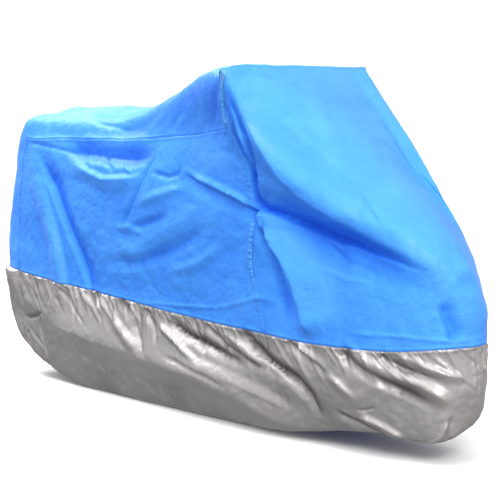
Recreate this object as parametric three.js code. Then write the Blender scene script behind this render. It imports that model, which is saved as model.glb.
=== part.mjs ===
// Fitted motorcycle cover, standing as it hangs over a parked machine: blue upper cloth
// in four cut panels, and a silver skirt in three, gathered on to the blue along one seam
// and drawn in under the bottom by the elastic in its hem.
//
// Frame: millimetres, +Z up, +X towards the front, -Y the right-hand side.
// The origin lies under the middle of the cover, level with its lowest point.
//
// The shape is a net of ribs and levels. A rib is a line over the cloth from the hem to the
// top, and each level is one height band on it. Folds are rows of a table that push the
// surface in or out along a path on that net.

import * as THREE from 'three';

// Driving dimensions
const CLOTH = 2.0;
const SEAM_GAP = 0.25;
const MIDDLE_SHIFT = 55.3;
const LIFT = 36.1;
const MITRE_LIMIT = 2.5;

// Height of each of the slack's three waves, and the band beside a fold's path where its
// left width turns into its right one
const SLACK_WAVE = 1.2;
const TURN_BAND = 8;

// Cut edges are split along one slant, so the two edges of a seam twist alike
const SLANT = [0.37, 0.11, 1];

// How far above the shoulder, in levels, the closed ring still shapes the open front
const RING_REACH = 0.6;

// Steps of the net between one rib and the next, and between one level and the next
const SIDE_STEPS = 8;
const FRONT_STEPS = [5, 5, 6, 6, 4, 4, 6, 6, 5, 5];
const UPPER_STEPS = [4, 4, 4, 3];
const BAR_STEPS = 5;
const SKIRT_STEPS = [2, 3, 3];
const TAIL_STEPS = 3;

// Places of the levels in every rib row
const HEM = 0;
const JOINT = 3;
const SHOULDER = 7;
const TOP = 8;

// Places of the ribs around the cover, right side first
const SEAM_RIB = 2;
const DART_RIB = 6;
const NOSE_RIB = 11;
const FAR_DART_RIB = 16;
const FAR_SEAM_RIB = 20;
const RIB_COUNT = 22;

// Ribs of the right side, from the tail to the nose. Each level is [x, y, z] on the bare form,
// before MIDDLE_SHIFT and LIFT. Ribs from the dart to the nose also reach the bar ridge.
const RIGHT_RIBS = {
  tailCentre: {
    hem: [-1050, 0, 215], low: [-1095, 0, 190], belly: [-1150, 0, 275], joint: [-1175, 0, 380],
    waist: [-1172, 0, 540], chest: [-1150, 0, 750], yoke: [-1132, 0, 850], shoulder: [-1096, 0, 940],
  },
  tailCorner: {
    hem: [-1000, -70, 165], low: [-1084, -121, 116], belly: [-1154, -134, 222],
    joint: [-1160, -128, 376], waist: [-1162, -126, 540], chest: [-1122, -121, 750],
    yoke: [-1088, -118, 840], shoulder: [-1052, -126, 905],
  },
  tailSeam: {
    hem: [-940, -95, 92], low: [-966, -138, 50], belly: [-1045, -160, 205],
    joint: [-1062, -160, 366], waist: [-1062, -158, 530], chest: [-1046, -156, 720],
    yoke: [-1030, -154, 810], shoulder: [-1010, -150, 884],
  },
  seatBack: {
    hem: [-760, -98, 16], low: [-765, -136, -20], belly: [-765, -198, 185],
    joint: [-760, -184, 351], waist: [-750, -188, 520], chest: [-745, -190, 710],
    yoke: [-742, -180, 810], shoulder: [-740, -158, 893],
  },
  seatMiddle: {
    hem: [-380, -102, 4], low: [-380, -142, -31], belly: [-380, -214, 160],
    joint: [-380, -197, 331], waist: [-380, -208, 515], chest: [-378, -212, 715],
    yoke: [-376, -198, 818], shoulder: [-375, -170, 908],
  },
  knee: {
    hem: [-20, -108, 2], low: [-20, -150, -34], belly: [-20, -220, 138],
    joint: [-20, -204, 311], waist: [-25, -218, 515], chest: [-30, -228, 725],
    yoke: [-30, -216, 838], shoulder: [-30, -192, 936],
  },
  dart: {
    hem: [335, -115, 12], low: [335, -157, -21], belly: [335, -220, 115],
    joint: [350, -222, 303], waist: [300, -229, 537], chest: [325, -245, 705],
    yoke: [292, -256, 852], shoulder: [212, -262, 965], top: [264, -345, 1160],
  },
  flank: {
    hem: [540, -118, 40], low: [550, -160, 6], belly: [560, -216, 105],
    joint: [553, -229, 300], waist: [462, -227, 500], chest: [372, -238, 690],
    yoke: [362, -272, 835], shoulder: [318, -306, 952], top: [272, -341, 1168],
  },
  brow: {
    hem: [715, -118, 62], low: [730, -158, 31], belly: [735, -206, 115],
    joint: [740, -216, 304], waist: [660, -204, 490], chest: [560, -205, 662],
    yoke: [512, -270, 790], shoulder: [417, -300, 913], top: [280, -320, 1171],
  },
  cheek: {
    hem: [810, -112, 60], low: [858, -146, 32], belly: [872, -165, 160],
    joint: [860, -182, 308], waist: [790, -190, 470], chest: [712, -188, 622],
    yoke: [705, -225, 691], shoulder: [485, -243, 920], top: [284, -260, 1177],
  },
  corner: {
    hem: [925, -80, 70], low: [1000, -108, 34], belly: [1020, -118, 170],
    joint: [1005, -118, 325], waist: [996, -115, 440], chest: [988, -112, 515],
    yoke: [980, -110, 568], shoulder: [630, -146, 860], top: [290, -180, 1177],
  },
  nose: {
    hem: [960, 0, 105], low: [1026, 0, 70], belly: [1062, 0, 170],
    joint: [1062, 0, 328], waist: [1050, 0, 450], chest: [1024, 0, 535],
    yoke: [985, 0, 600], shoulder: [642, 0, 883], top: [300, 0, 1175],
  },
};

// Levels of the left side that aren't the mirror of the right: its edge runs straighter
// and higher from the bar to the nose, and the tail is pulled up at its left corner
const LEFT_CHANGES = {
  tailCorner: { shoulder: [-1075, 132, 950] },
  dart: { top: [266, 348, 1152] },
  flank: { top: [276, 349, 1162] },
  brow: {
    hem: [705, 110, 72], low: [735, 150, 40], belly: [745, 170, 150], joint: [750, 185, 304],
    waist: [715, 205, 490], chest: [680, 215, 685], yoke: [632, 230, 836],
    shoulder: [461, 297, 992], top: [284, 328, 1166],
  },
  cheek: {
    hem: [830, 95, 85], low: [868, 124, 66], belly: [885, 140, 165], joint: [880, 148, 312],
    waist: [865, 160, 470], chest: [825, 181, 626], yoke: [803, 175, 695],
    shoulder: [537, 215, 925], top: [284, 260, 1165],
  },
  corner: {
    hem: [920, 60, 110], low: [985, 86, 88], belly: [1012, 94, 185], joint: [1011, 101, 325],
    waist: [1000, 108, 430], chest: [974, 115, 490], yoke: [947, 125, 551],
    shoulder: [622, 160, 866], top: [290, 180, 1166],
  },
};

// Cross sections of the centre panel, from the rear joint up over the tail, along the seat
// and up to the bar ridge. track is the place along its edge: 0 to 4 up the tail seam,
// 4 to 8 along the shoulder seam and 8 to 9 up the dart. roll is the rounded edge of the
// top on the right, farRoll on the left where it isn't the mirror, and crown the middle.
const CENTRE_SECTIONS = [
  { track: 0, roll: [-1160, -128, 376], crown: [-1175, 0, 380] },
  { track: 1, roll: [-1162, -126, 540], crown: [-1172, 0, 540] },
  { track: 2, roll: [-1122, -121, 750], crown: [-1150, 0, 750] },
  { track: 3.4, roll: [-1086, -127, 876], crown: [-1112, 0, 900] },
  { track: 4, roll: [-1036, -124, 950], crown: [-1062, 0, 960], farRoll: [-1055, 130, 976] },
  { track: 4.5, roll: [-880, -120, 958], crown: [-905, 0, 988], farRoll: [-900, 130, 984] },
  { track: 5, roll: [-740, -118, 962], crown: [-740, 0, 996], farRoll: [-740, 130, 997] },
  { track: 6, roll: [-390, -125, 985], crown: [-440, 0, 1013], farRoll: [-380, 132, 1006] },
  { track: 7, roll: [-90, -190, 1078], crown: [-195, 0, 1063] },
  { track: 8, roll: [110, -268, 1141], crown: [60, 0, 1118] },
  { track: 8.5, roll: [212, -288, 1162], crown: [210, 0, 1154] },
  { track: 9, roll: [285, -232, 1177], crown: [300, 0, 1172] },
];
const TRACK_SHOULDER = 4;
const TRACK_DART = 8;
const TRACK_END = 9;
const LAST_SECTION = 4;

// Ribs of the front panel that the centre panel's own lines meet at the bar ridge
const RIDGE_COLUMNS = [6, 8, 8.5, 9 + 1 / 3, 10, 10.5, 11, 11.5, 12, 12 + 2 / 3, 13.5, 14, 16];

// Folds. path is [rib, level] on the ring, or [track, section] on the centre panel.
// rise is out (+) or in (-). left and right are the widths to either side of the path,
// seen from outside and walking along it; sharp goes from 0, round, to 1, creased.
// fade is the part of the path over which the fold starts and ends.
const FOLDS = [
  // Blue front: the edge of the cloth that runs from the bar end down to the nose
  { name: 'brow edge', on: 'front', rise: 10, left: 85, right: 32, sharp: 0.5,
    fade: [0.3, 0.15],
    path: [[7.2, 7.8], [7.9, 7.4], [8, 6.9], [7.95, 6.3], [8.2, 5.95], [9, 6.02], [9.6, 6.04],
      [10.1, 5.97]] },
  { name: 'brow trough', on: 'front', rise: -42, left: 60, right: 160, sharp: 0.2,
    fade: [0.12, 0.5],
    path: [[6.35, 5.1], [6.65, 5.2], [7.3, 5.17], [7.75, 5.02], [8.6, 4.96], [9.25, 5.22],
      [9.56, 5.6], [9.99, 5.92]] },
  { name: 'knot', on: 'front', rise: -26, left: 66, right: 66, sharp: 0.7,
    fade: [0, 0], path: [[6.03, 5.02], [6.28, 5.06]] },
  { name: 'dart shadow', on: 'front', rise: -13, left: 26, right: 22, sharp: 0.4,
    fade: [0.15, 0], path: [[6.25, 7.75], [6.72, 7.25], [6.6, 6.7], [6.45, 6.2], [6.2, 5.5], [6.15, 5.2]] },
  { name: 'dart ridge', on: 'front', rise: 9, left: 26, right: 24, sharp: 0.3,
    fade: [0.2, 0.2], path: [[6.7, 7.75], [7, 7.35], [7, 6.85], [6.8, 6.3], [6.5, 5.75]] },
  { name: 'flank edge', on: 'front', rise: 26, left: 95, right: 46, sharp: 0.4,
    fade: [0.25, 0.15],
    path: [[6.8, 4.98], [7.12, 4.68], [7.25, 4.35], [7.22, 3.9], [7.14, 3.45], [7.13, 3.08]] },
  { name: 'flank hollow', on: 'front', rise: -12, left: 45, right: 60, sharp: 0.2,
    fade: [0.15, 0.3], path: [[6.4, 4.95], [6.68, 4.6], [6.78, 4.2], [6.74, 3.7], [6.66, 3.12]] },
  { name: 'nose dent', on: 'front', rise: -7, left: 45, right: 45, sharp: 0.2,
    fade: [0.4, 0.4], path: [[10.4, 5.1], [10.8, 4.85], [11.3, 4.7]] },
  // Blue side: creases that run into the knot, hollows under the seat, pulls from the tail
  { name: 'knot crease', on: 'side', rise: 14, left: 65, right: 45, sharp: 0.4,
    fade: [0.3, 0], path: [[4.92, 5.87], [5.21, 5.56], [5.55, 5.3], [5.8, 5.16], [6, 5.06]] },
  { name: 'under the knot crease', on: 'side', rise: -12, left: 45, right: 75, sharp: 0.2,
    fade: [0.3, 0], path: [[4.92, 5.74], [5.21, 5.42], [5.55, 5.16], [5.8, 5.03], [6, 4.95]] },
  { name: 'seat hollow', on: 'side', rise: -25, left: 66, right: 50, sharp: 0.2,
    fade: [0.2, 0.25], path: [[2.95, 6.62], [3.3, 6.42], [3.7, 6.28], [4.1, 6.22], [4.5, 6.35]] },
  { name: 'seat hollow rim', on: 'side', rise: 12, left: 50, right: 60, sharp: 0.2,
    fade: [0.3, 0.3], path: [[3, 6.1], [3.4, 5.72], [3.7, 5.45], [4, 5.5], [4.4, 5.62]] },
  { name: 'tail pull', on: 'side', rise: 25, left: 50, right: 110, sharp: 0.25,
    fade: [0.65, 0.08], path: [[2.16, 6.85], [2.56, 5.4], [2.88, 4.55], [3.12, 3.85], [3.32, 3.1]] },
  { name: 'tail hollow', on: 'side', rise: -13, left: 90, right: 56, sharp: 0.1,
    fade: [0.3, 0.1], path: [[2.42, 6.6], [2.86, 5.2], [3.2, 4.4], [3.46, 3.8], [3.66, 3.1]] },
  { name: 'side diagonal', on: 'side', rise: 9, left: 80, right: 80, sharp: 0,
    fade: [0.35, 0.35], path: [[3.75, 4.02], [4.2, 4.03], [4.44, 4.24], [4.85, 4.54], [5.25, 4.92]] },
  // The same cloth on the left side, which the photograph doesn't reach, with plainer pulls
  { name: 'left knot', on: 'front', rise: -20, left: 70, right: 70, sharp: 0.6, fade: [0, 0],
    path: [[15.75, 5], [15.97, 5]] },
  { name: 'left trough', on: 'front', rise: -22, left: 70, right: 48, sharp: 0.3,
    fade: [0.1, 0.55], path: [[15.5, 5], [14.6, 5.05], [13.8, 5.3], [13, 5.5]] },
  { name: 'left knot crease', on: 'side', rise: 11, left: 50, right: 65, sharp: 0.3,
    fade: [0.3, 0], path: [[17.3, 5.9], [16.7, 5.5], [16.3, 5.2], [16, 5.03]] },
  { name: 'left seat hollow', on: 'side', rise: -14, left: 55, right: 50, sharp: 0.1,
    fade: [0.3, 0.3], path: [[19, 6.4], [18.3, 6.2], [17.6, 6.1]] },
  { name: 'left tail pull', on: 'side', rise: 16, left: 85, right: 60, sharp: 0.2,
    fade: [0.2, 0.1], path: [[19.85, 6.8], [19.4, 5.6], [19, 4.6], [18.7, 3.1]] },
  { name: 'left side diagonal', on: 'side', rise: 10, left: 90, right: 90, sharp: 0,
    fade: [0.4, 0.4], path: [[16.5, 4.9], [17.2, 4.5], [18.1, 4]] },
  // Blue top: hollows between the seat and the rising part
  { name: 'seat end hollow', on: 'centre', rise: -13, left: 55, right: 55, sharp: 0.1,
    fade: [0.3, 0.3], path: [[5.6, 0.7], [6.2, 0.5], [6.7, 0.6], [7.2, 0.95]] },
  { name: 'bar end hollow', on: 'centre', rise: -8, left: 45, right: 45, sharp: 0.1,
    fade: [0.3, 0.3], path: [[8.5, 0.5], [8.1, 0.45], [7.6, 0.3]] },
  { name: 'far top hollow', on: 'centre', rise: -12, left: 70, right: 70, sharp: 0.1,
    fade: [0.4, 0.4], path: [[6.2, 3.2], [7, 2.9], [7.8, 3]] },
  // Silver skirt: pulls that run down and forwards from the gathered seam
  { name: 'rear pull', on: 'skirt', rise: 13, left: 50, right: 55, sharp: 0.1,
    fade: [0.1, 0.3], path: [[3.58, 2.94], [3.9, 2.48], [4.3, 2.02]] },
  { name: 'rear hollow', on: 'skirt', rise: -11, left: 50, right: 45, sharp: 0.1,
    fade: [0.1, 0.3], path: [[3.9, 2.97], [4.12, 2.67], [4.28, 2.17], [4.4, 2.02]] },
  { name: 'second hollow', on: 'skirt', rise: -14, left: 50, right: 50, sharp: 0.1,
    fade: [0.15, 0.3], path: [[4.61, 2.85], [4.92, 2.63], [5.21, 2.54], [5.5, 2.44], [5.9, 2.32]] },
  { name: 'middle pull', on: 'skirt', rise: 13, left: 50, right: 55, sharp: 0.1,
    fade: [0.3, 0.3], path: [[4.7, 2.2], [5.4, 2.06], [6.1, 1.86], [6.75, 1.62]] },
  { name: 'middle hollow', on: 'skirt', rise: -16, left: 50, right: 50, sharp: 0.2,
    fade: [0.1, 0.25], path: [[5.62, 2.95], [6.04, 2.55], [6.7, 2.35], [6.97, 2.11], [7.25, 1.48]] },
  { name: 'front pull', on: 'skirt', rise: 16, left: 50, right: 55, sharp: 0.2,
    fade: [0.15, 0.2], path: [[7.8, 2.97], [8.8, 2.5], [9.35, 2.33], [10.23, 1.86]] },
  { name: 'front hollow', on: 'skirt', rise: -14, left: 45, right: 45, sharp: 0.2,
    fade: [0.1, 0.3], path: [[7.62, 2.95], [8.38, 2.6], [9.16, 2.2], [9.7, 1.96], [10.1, 1.75]] },
  { name: 'left rear pull', on: 'skirt', rise: 12, left: 55, right: 50, sharp: 0.1,
    fade: [0.1, 0.3], path: [[18.9, 2.9], [18.3, 2.4], [17.6, 2]] },
  { name: 'left middle hollow', on: 'skirt', rise: -14, left: 50, right: 50, sharp: 0.1,
    fade: [0.1, 0.3], path: [[17.9, 2.95], [17, 2.5], [16, 2.1], [15.2, 1.7]] },
  { name: 'left middle pull', on: 'skirt', rise: 13, left: 50, right: 50, sharp: 0.1,
    fade: [0.2, 0.3], path: [[16.9, 2.9], [16, 2.5], [14.8, 2.1], [14, 1.8]] },
  { name: 'left front hollow', on: 'skirt', rise: -12, left: 45, right: 45, sharp: 0.1,
    fade: [0.1, 0.3], path: [[15.2, 2.95], [14.3, 2.6], [13.2, 2.3], [12.3, 2]] },
  { name: 'tail gather', on: 'skirt', rise: -10, left: 45, right: 45, sharp: 0.1,
    fade: [0.1, 0.3], path: [[21.6, 2.9], [21.75, 2.3], [21.9, 1.6]] },
];
const PATH_STEPS = 5;

// Materials
const BLUE = { color: 0x4ba3ee, roughness: 0.55, metalness: 0.0 };
const SILVER = { color: 0xb4b0ae, roughness: 0.38, metalness: 0.35 };

// Small vector help on plain [x, y, z] arrays
const add = (a, b) => [a[0] + b[0], a[1] + b[1], a[2] + b[2]];
const sub = (a, b) => [a[0] - b[0], a[1] - b[1], a[2] - b[2]];
const scale = (a, k) => [a[0] * k, a[1] * k, a[2] * k];
const dot = (a, b) => a[0] * b[0] + a[1] * b[1] + a[2] * b[2];
const length = (a) => Math.hypot(a[0], a[1], a[2]);
const unit = (a) => scale(a, 1 / (length(a) || 1));
const mix = (a, b, k) => add(scale(a, 1 - k), scale(b, k));
const cross = (a, b) => [
  a[1] * b[2] - a[2] * b[1],
  a[2] * b[0] - a[0] * b[2],
  a[0] * b[1] - a[1] * b[0],
];

function smoothstep(low, high, value) {
  const t = Math.min(1, Math.max(0, (value - low) / (high - low)));
  return t * t * (3 - 2 * t);
}

// A smooth curve through points, read at place t: 2.5 is midway from point 2 to point 3.
// power sets how the spacing of the points counts, 1 for chord length, 0.5 for its root.
function curveAt(points, t, power, closed) {
  const count = points.length;
  let start = Math.floor(t + 1e-9);
  let part = Math.min(1, Math.max(0, t - start));
  if (!closed && start >= count - 1) {
    start = count - 2;
    part = 1;
  }
  const pick = (k) => (closed ? points[((k % count) + count) % count]
    : points[Math.min(count - 1, Math.max(0, k))]);
  const p1 = pick(start);
  const p2 = pick(start + 1);
  let p0 = pick(start - 1);
  let p3 = pick(start + 2);
  if (!closed && start === 0) p0 = sub(scale(p1, 2), p2);
  if (!closed && start === count - 2) p3 = sub(scale(p2, 2), p1);
  const span = (a, b) => Math.max(length(sub(b, a)), 1e-6) ** power;
  const before = span(p0, p1);
  const here = span(p1, p2);
  const after = span(p2, p3);
  const slope0 = scale(sub(p1, p0), 1 / before);
  const slope1 = scale(sub(p2, p1), 1 / here);
  const slope2 = scale(sub(p3, p2), 1 / after);
  const m1 = scale(add(scale(slope0, here), scale(slope1, before)), here / (before + here));
  const m2 = scale(add(scale(slope1, after), scale(slope2, here)), here / (here + after));
  const f2 = part * part;
  const f3 = f2 * part;
  const ends = add(scale(p1, 2 * f3 - 3 * f2 + 1), scale(p2, 3 * f2 - 2 * f3));
  return add(ends, add(scale(m1, f3 - 2 * f2 + part), scale(m2, f3 - f2)));
}

// A table point in the shared frame, and its mirror on the left side
const place = ([x, y, z]) => [x + MIDDLE_SHIFT, y, z + LIFT];
const mirror = ([x, y, z]) => [x, -y, z];

// The ribs in order around the cover
function orderedRibs() {
  const names = Object.keys(RIGHT_RIBS);
  const right = names.map((name) => Object.values(RIGHT_RIBS[name]).map(place));
  const left = names.slice(1, -1).reverse().map((name) => {
    const changes = LEFT_CHANGES[name] || {};
    return Object.entries(RIGHT_RIBS[name]).map(([level, point]) => (
      place(changes[level] || mirror(point))));
  });
  return [...right, ...left];
}
const RIBS = orderedRibs();
const ROLLS = CENTRE_SECTIONS.map((row) => place(row.roll));
const CROWNS = CENTRE_SECTIONS.map((row) => place(row.crown));
const FAR_ROLLS = CENTRE_SECTIONS.map((row) => place(row.farRoll || mirror(row.roll)));

const ribAt = (rib, level) => curveAt(RIBS[rib % RIB_COUNT], level, 1, false);

const ringAt = (rib, level) => curveAt(RIBS.map((_, k) => ribAt(k, level)), rib, 0.5, true);

// Above the shoulder only the front ribs go on, so the row is open from dart to dart
function openFrontAt(rib, level) {
  const row = [];
  for (let k = DART_RIB; k <= FAR_DART_RIB; k += 1) row.push(ribAt(k, level));
  return curveAt(row, rib - DART_RIB, 0.5, false);
}

// The bar ridge is one line of straight steps, so that both panels share it exactly
function ridgeAt(rib) {
  let k = 0;
  while (k < RIDGE_COLUMNS.length - 2 && rib > RIDGE_COLUMNS[k + 1] + 1e-9) k += 1;
  const from = RIDGE_COLUMNS[k];
  const to = RIDGE_COLUMNS[k + 1];
  const part = (rib - from) / (to - from);
  return mix(openFrontAt(from, TOP), openFrontAt(to, TOP), Math.min(1, Math.max(0, part)));
}

function frontAt(rib, level) {
  if (level >= TOP - 1e-9) return ridgeAt(rib);
  if (level <= SHOULDER) return ringAt(rib, level);
  const step = sub(ringAt(rib, SHOULDER), openFrontAt(rib, SHOULDER));
  const left = 1 - smoothstep(SHOULDER, SHOULDER + RING_REACH, level);
  return add(openFrontAt(rib, level), scale(step, left));
}

// The centre panel's edge on the right or the left, at a track place
function trackEdge(track, far) {
  if (track <= TRACK_SHOULDER) return ribAt(far ? FAR_SEAM_RIB : SEAM_RIB, JOINT + track);
  if (track <= TRACK_DART) {
    const rib = SEAM_RIB + track - TRACK_SHOULDER;
    return ringAt(far ? RIB_COUNT - rib : rib, SHOULDER);
  }
  return ribAt(far ? FAR_DART_RIB : DART_RIB, SHOULDER + track - TRACK_DART);
}

// A cross section of the centre panel, through its edges, rolls and crown
function sectionAt(track, section) {
  let k = 0;
  while (k < CENTRE_SECTIONS.length - 2 && track > CENTRE_SECTIONS[k + 1].track) k += 1;
  const from = CENTRE_SECTIONS[k].track;
  const t = k + (track - from) / (CENTRE_SECTIONS[k + 1].track - from);
  const line = [
    trackEdge(track, false),
    curveAt(ROLLS, t, 0.5, false),
    curveAt(CROWNS, t, 0.5, false),
    curveAt(FAR_ROLLS, t, 0.5, false),
    trackEdge(track, true),
  ];
  return curveAt(line, section, 0.5, false);
}

// The centre panel starts on the ring over the rear joint and ends on the bar ridge
function centreAt(track, section) {
  const point = sectionAt(track, section);
  if (track < 1) {
    const ring = ringAt((SEAM_RIB - section + RIB_COUNT) % RIB_COUNT, JOINT + track);
    return mix(ring, point, smoothstep(0, 1, track));
  }
  if (track > TRACK_DART) {
    const place = section * (RIDGE_COLUMNS.length - 1) / LAST_SECTION;
    const low = Math.min(RIDGE_COLUMNS.length - 2, Math.floor(place + 1e-9));
    const rib = RIDGE_COLUMNS[low]
      + (RIDGE_COLUMNS[low + 1] - RIDGE_COLUMNS[low]) * (place - low);
    const step = sub(ridgeAt(rib), sectionAt(TRACK_END, section));
    return add(point, scale(step, smoothstep(TRACK_DART, TRACK_END, track)));
  }
  return point;
}

const SURFACES = { side: ringAt, skirt: ringAt, front: frontAt, centre: centreAt };

// The way out of the cover at a point: sideways on the flanks, forwards over the nose,
// back over the tail and up over the top. Folds push along it, so that two panels that
// share a seam are pushed alike.
function outward(point) {
  const x = point[0] - MIDDLE_SHIFT;
  const z = point[2] - LIFT;
  const nose = Math.max(0, (x - 300) / 600) ** 2;
  const tail = Math.max(0, (-x - 850) / 250) ** 2;
  const up = Math.max(0, (z - 500) / 450) ** 5;
  const down = Math.max(0, (60 - z) / 120);
  return unit([nose - tail, point[1] / 200, up - down]);
}

// Each fold's path as points in space, with their distance along it
function tracePath(fold) {
  const surface = SURFACES[fold.on];
  const points = [];
  for (let k = 0; k < fold.path.length - 1; k += 1) {
    const last = k === fold.path.length - 2;
    for (let s = 0; s < PATH_STEPS + (last ? 1 : 0); s += 1) {
      const [a, b] = fold.path[k];
      const [c, d] = fold.path[k + 1];
      const part = s / PATH_STEPS;
      points.push(surface(a + (c - a) * part, b + (d - b) * part));
    }
  }
  const along = [0];
  for (let k = 1; k < points.length; k += 1) {
    along.push(along[k - 1] + length(sub(points[k], points[k - 1])));
  }
  return { points, along, total: along[along.length - 1] };
}
const TRACED = FOLDS.map((fold) => ({ ...fold, ...tracePath(fold) }));

function foldRise(fold, point) {
  let best = Infinity;
  let near = null;
  for (let k = 0; k < fold.points.length - 1; k += 1) {
    const a = fold.points[k];
    const step = sub(fold.points[k + 1], a);
    const part = Math.min(1, Math.max(0, dot(sub(point, a), step) / dot(step, step)));
    const foot = add(a, scale(step, part));
    const gap = length(sub(point, foot));
    if (gap < best) {
      best = gap;
      near = { foot, step, at: fold.along[k] + part * length(step) };
    }
  }
  if (best >= Math.max(fold.left, fold.right)) return 0;
  const towardsRight = dot(sub(point, near.foot), cross(unit(near.step), outward(near.foot)));
  const lean = smoothstep(-TURN_BAND, TURN_BAND, towardsRight);
  const width = fold.left + (fold.right - fold.left) * lean;
  const q = best / width;
  if (q >= 1) return 0;
  const round = (1 - q * q) ** 2;
  const crease = (1 - q) ** 2;
  const profile = round + (crease - round) * fold.sharp;
  const t = near.at / fold.total;
  const [fadeIn, fadeOut] = fold.fade;
  const start = fadeIn > 0 ? smoothstep(0, fadeIn, t) : 1;
  const finish = fadeOut > 0 ? smoothstep(0, fadeOut, 1 - t) : 1;
  return fold.rise * profile * start * finish;
}

// The slack of the cloth between the folds
function slack(point) {
  const [x, y, z] = point;
  const wave = Math.sin(x / 97 + z / 61 + y / 83) + Math.sin(x / 53 - z / 89 + 1.3)
    + Math.sin(z / 43 + x / 149 + y / 59 + 0.7);
  return SLACK_WAVE * wave;
}

function folded(point) {
  let rise = slack(point);
  for (const fold of TRACED) rise += foldRise(fold, point);
  return add(point, scale(outward(point), rise));
}

// Sample places along ribs and levels
function spread(from, steps) {
  const places = [from];
  steps.forEach((count, span) => {
    for (let s = 1; s <= count; s += 1) places.push(from + span + s / count);
  });
  return places;
}
const UPPER_LEVELS = spread(JOINT, UPPER_STEPS);
const BAR_LEVELS = spread(SHOULDER, [BAR_STEPS]).slice(1);
const SKIRT_LEVELS = spread(HEM, SKIRT_STEPS);
const SIDE_RIBS = spread(SEAM_RIB, Array(DART_RIB - SEAM_RIB).fill(SIDE_STEPS));
const FRONT_RIBS = spread(DART_RIB, FRONT_STEPS);
const FAR_SIDE_RIBS = SIDE_RIBS.map((rib) => RIB_COUNT - rib).reverse();
const TAIL_RIBS = spread(FAR_SEAM_RIB, Array(4).fill(TAIL_STEPS));
const TRACKS = [
  ...UPPER_LEVELS.map((level) => level - JOINT),
  ...SIDE_RIBS.slice(1).map((rib) => rib - SEAM_RIB + TRACK_SHOULDER),
  ...BAR_LEVELS.map((level) => level - SHOULDER + TRACK_DART),
];
const SECTIONS = RIDGE_COLUMNS.map((_, k) => k * LAST_SECTION / (RIDGE_COLUMNS.length - 1));

// A grid of folded points: rows go up the cloth, columns go to the front on the right side
const gridOf = (rows, columns, read) => rows.map((row) => columns.map((column) => (
  folded(read(column, row)))));

// The values of a row made straight between the places where the ridge has its corners
function straightened(ribs, values) {
  return ribs.map((rib) => {
    let k = 0;
    while (k < RIDGE_COLUMNS.length - 2 && rib > RIDGE_COLUMNS[k + 1] + 1e-9) k += 1;
    const from = RIDGE_COLUMNS[k];
    const to = RIDGE_COLUMNS[k + 1];
    const at = (corner) => values[ribs.findIndex((one) => Math.abs(one - corner) < 1e-6)];
    return mix(at(from), at(to), (rib - from) / (to - from));
  });
}

function frontGrid() {
  const grid = gridOf([...UPPER_LEVELS, ...BAR_LEVELS], FRONT_RIBS, frontAt);
  grid.push(straightened(FRONT_RIBS, grid.pop()));
  return grid;
}

const nearRibs = FRONT_RIBS.filter((rib) => rib <= NOSE_RIB + 1e-9);
const farRibs = FRONT_RIBS.filter((rib) => rib >= NOSE_RIB - 1e-9);
const PANELS = {
  side_panel_right: { finish: BLUE, grid: gridOf(UPPER_LEVELS, SIDE_RIBS, ringAt) },
  side_panel_left: { finish: BLUE, grid: gridOf(UPPER_LEVELS, FAR_SIDE_RIBS, ringAt) },
  front_panel: { finish: BLUE, grid: frontGrid(), ridge: true },
  centre_panel: {
    finish: BLUE,
    grid: gridOf(TRACKS, [...SECTIONS].reverse(), (section, track) => centreAt(track, section)),
  },
  skirt_right: {
    finish: SILVER,
    grid: gridOf(SKIRT_LEVELS, [...SIDE_RIBS, ...nearRibs.slice(1)], ringAt),
  },
  skirt_left: {
    finish: SILVER,
    grid: gridOf(SKIRT_LEVELS, [...farRibs, ...FAR_SIDE_RIBS.slice(1)], ringAt),
  },
  skirt_rear: { finish: SILVER, grid: gridOf(SKIRT_LEVELS, TAIL_RIBS, ringAt) },
};

// Outward normal of every point of a grid, from the cells around it
function gridNormals(grid) {
  const rows = grid.length;
  const columns = grid[0].length;
  const normals = grid.map((row) => row.map(() => [0, 0, 0]));
  for (let r = 0; r < rows - 1; r += 1) {
    for (let c = 0; c < columns - 1; c += 1) {
      const across = sub(grid[r + 1][c + 1], grid[r][c]);
      const back = sub(grid[r + 1][c], grid[r][c + 1]);
      const face = cross(across, back);
      for (const [i, j] of [[r, c], [r, c + 1], [r + 1, c], [r + 1, c + 1]]) {
        normals[i][j] = add(normals[i][j], face);
      }
    }
  }
  return normals.map((row) => row.map(unit));
}

// Where panels meet at a seam they share one mitre, so their thicknesses don't collide
function sharedMitres() {
  const corners = new Map();
  const key = (point) => point.map((value) => Math.round(value * 10)).join(',');
  for (const panel of Object.values(PANELS)) {
    panel.normals = gridNormals(panel.grid);
    panel.grid.forEach((row, r) => row.forEach((point, c) => {
      const edge = r === 0 || c === 0 || r === panel.grid.length - 1 || c === row.length - 1;
      if (!edge) return;
      const name = key(point);
      if (!corners.has(name)) corners.set(name, []);
      corners.get(name).push(panel.normals[r][c]);
    }));
  }
  return (point, normal) => {
    const all = corners.get(key(point)) || [normal];
    const middle = unit(all.reduce(add, [0, 0, 0]));
    const least = Math.min(...all.map((one) => dot(one, middle)));
    return scale(middle, 1 / Math.max(1 / MITRE_LIMIT, least));
  };
}
const mitreAt = sharedMitres();

// The way in of every point of a panel, with the shared mitres around its edge
function waysIn({ grid, normals, ridge }) {
  const last = grid.length - 1;
  const ways = grid.map((row, r) => row.map((point, c) => {
    const edge = r === 0 || c === 0 || r === last || c === row.length - 1;
    return edge ? mitreAt(point, normals[r][c]) : normals[r][c];
  }));
  if (ridge) ways[last] = straightened(FRONT_RIBS, ways[last]);
  return ways;
}

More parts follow.
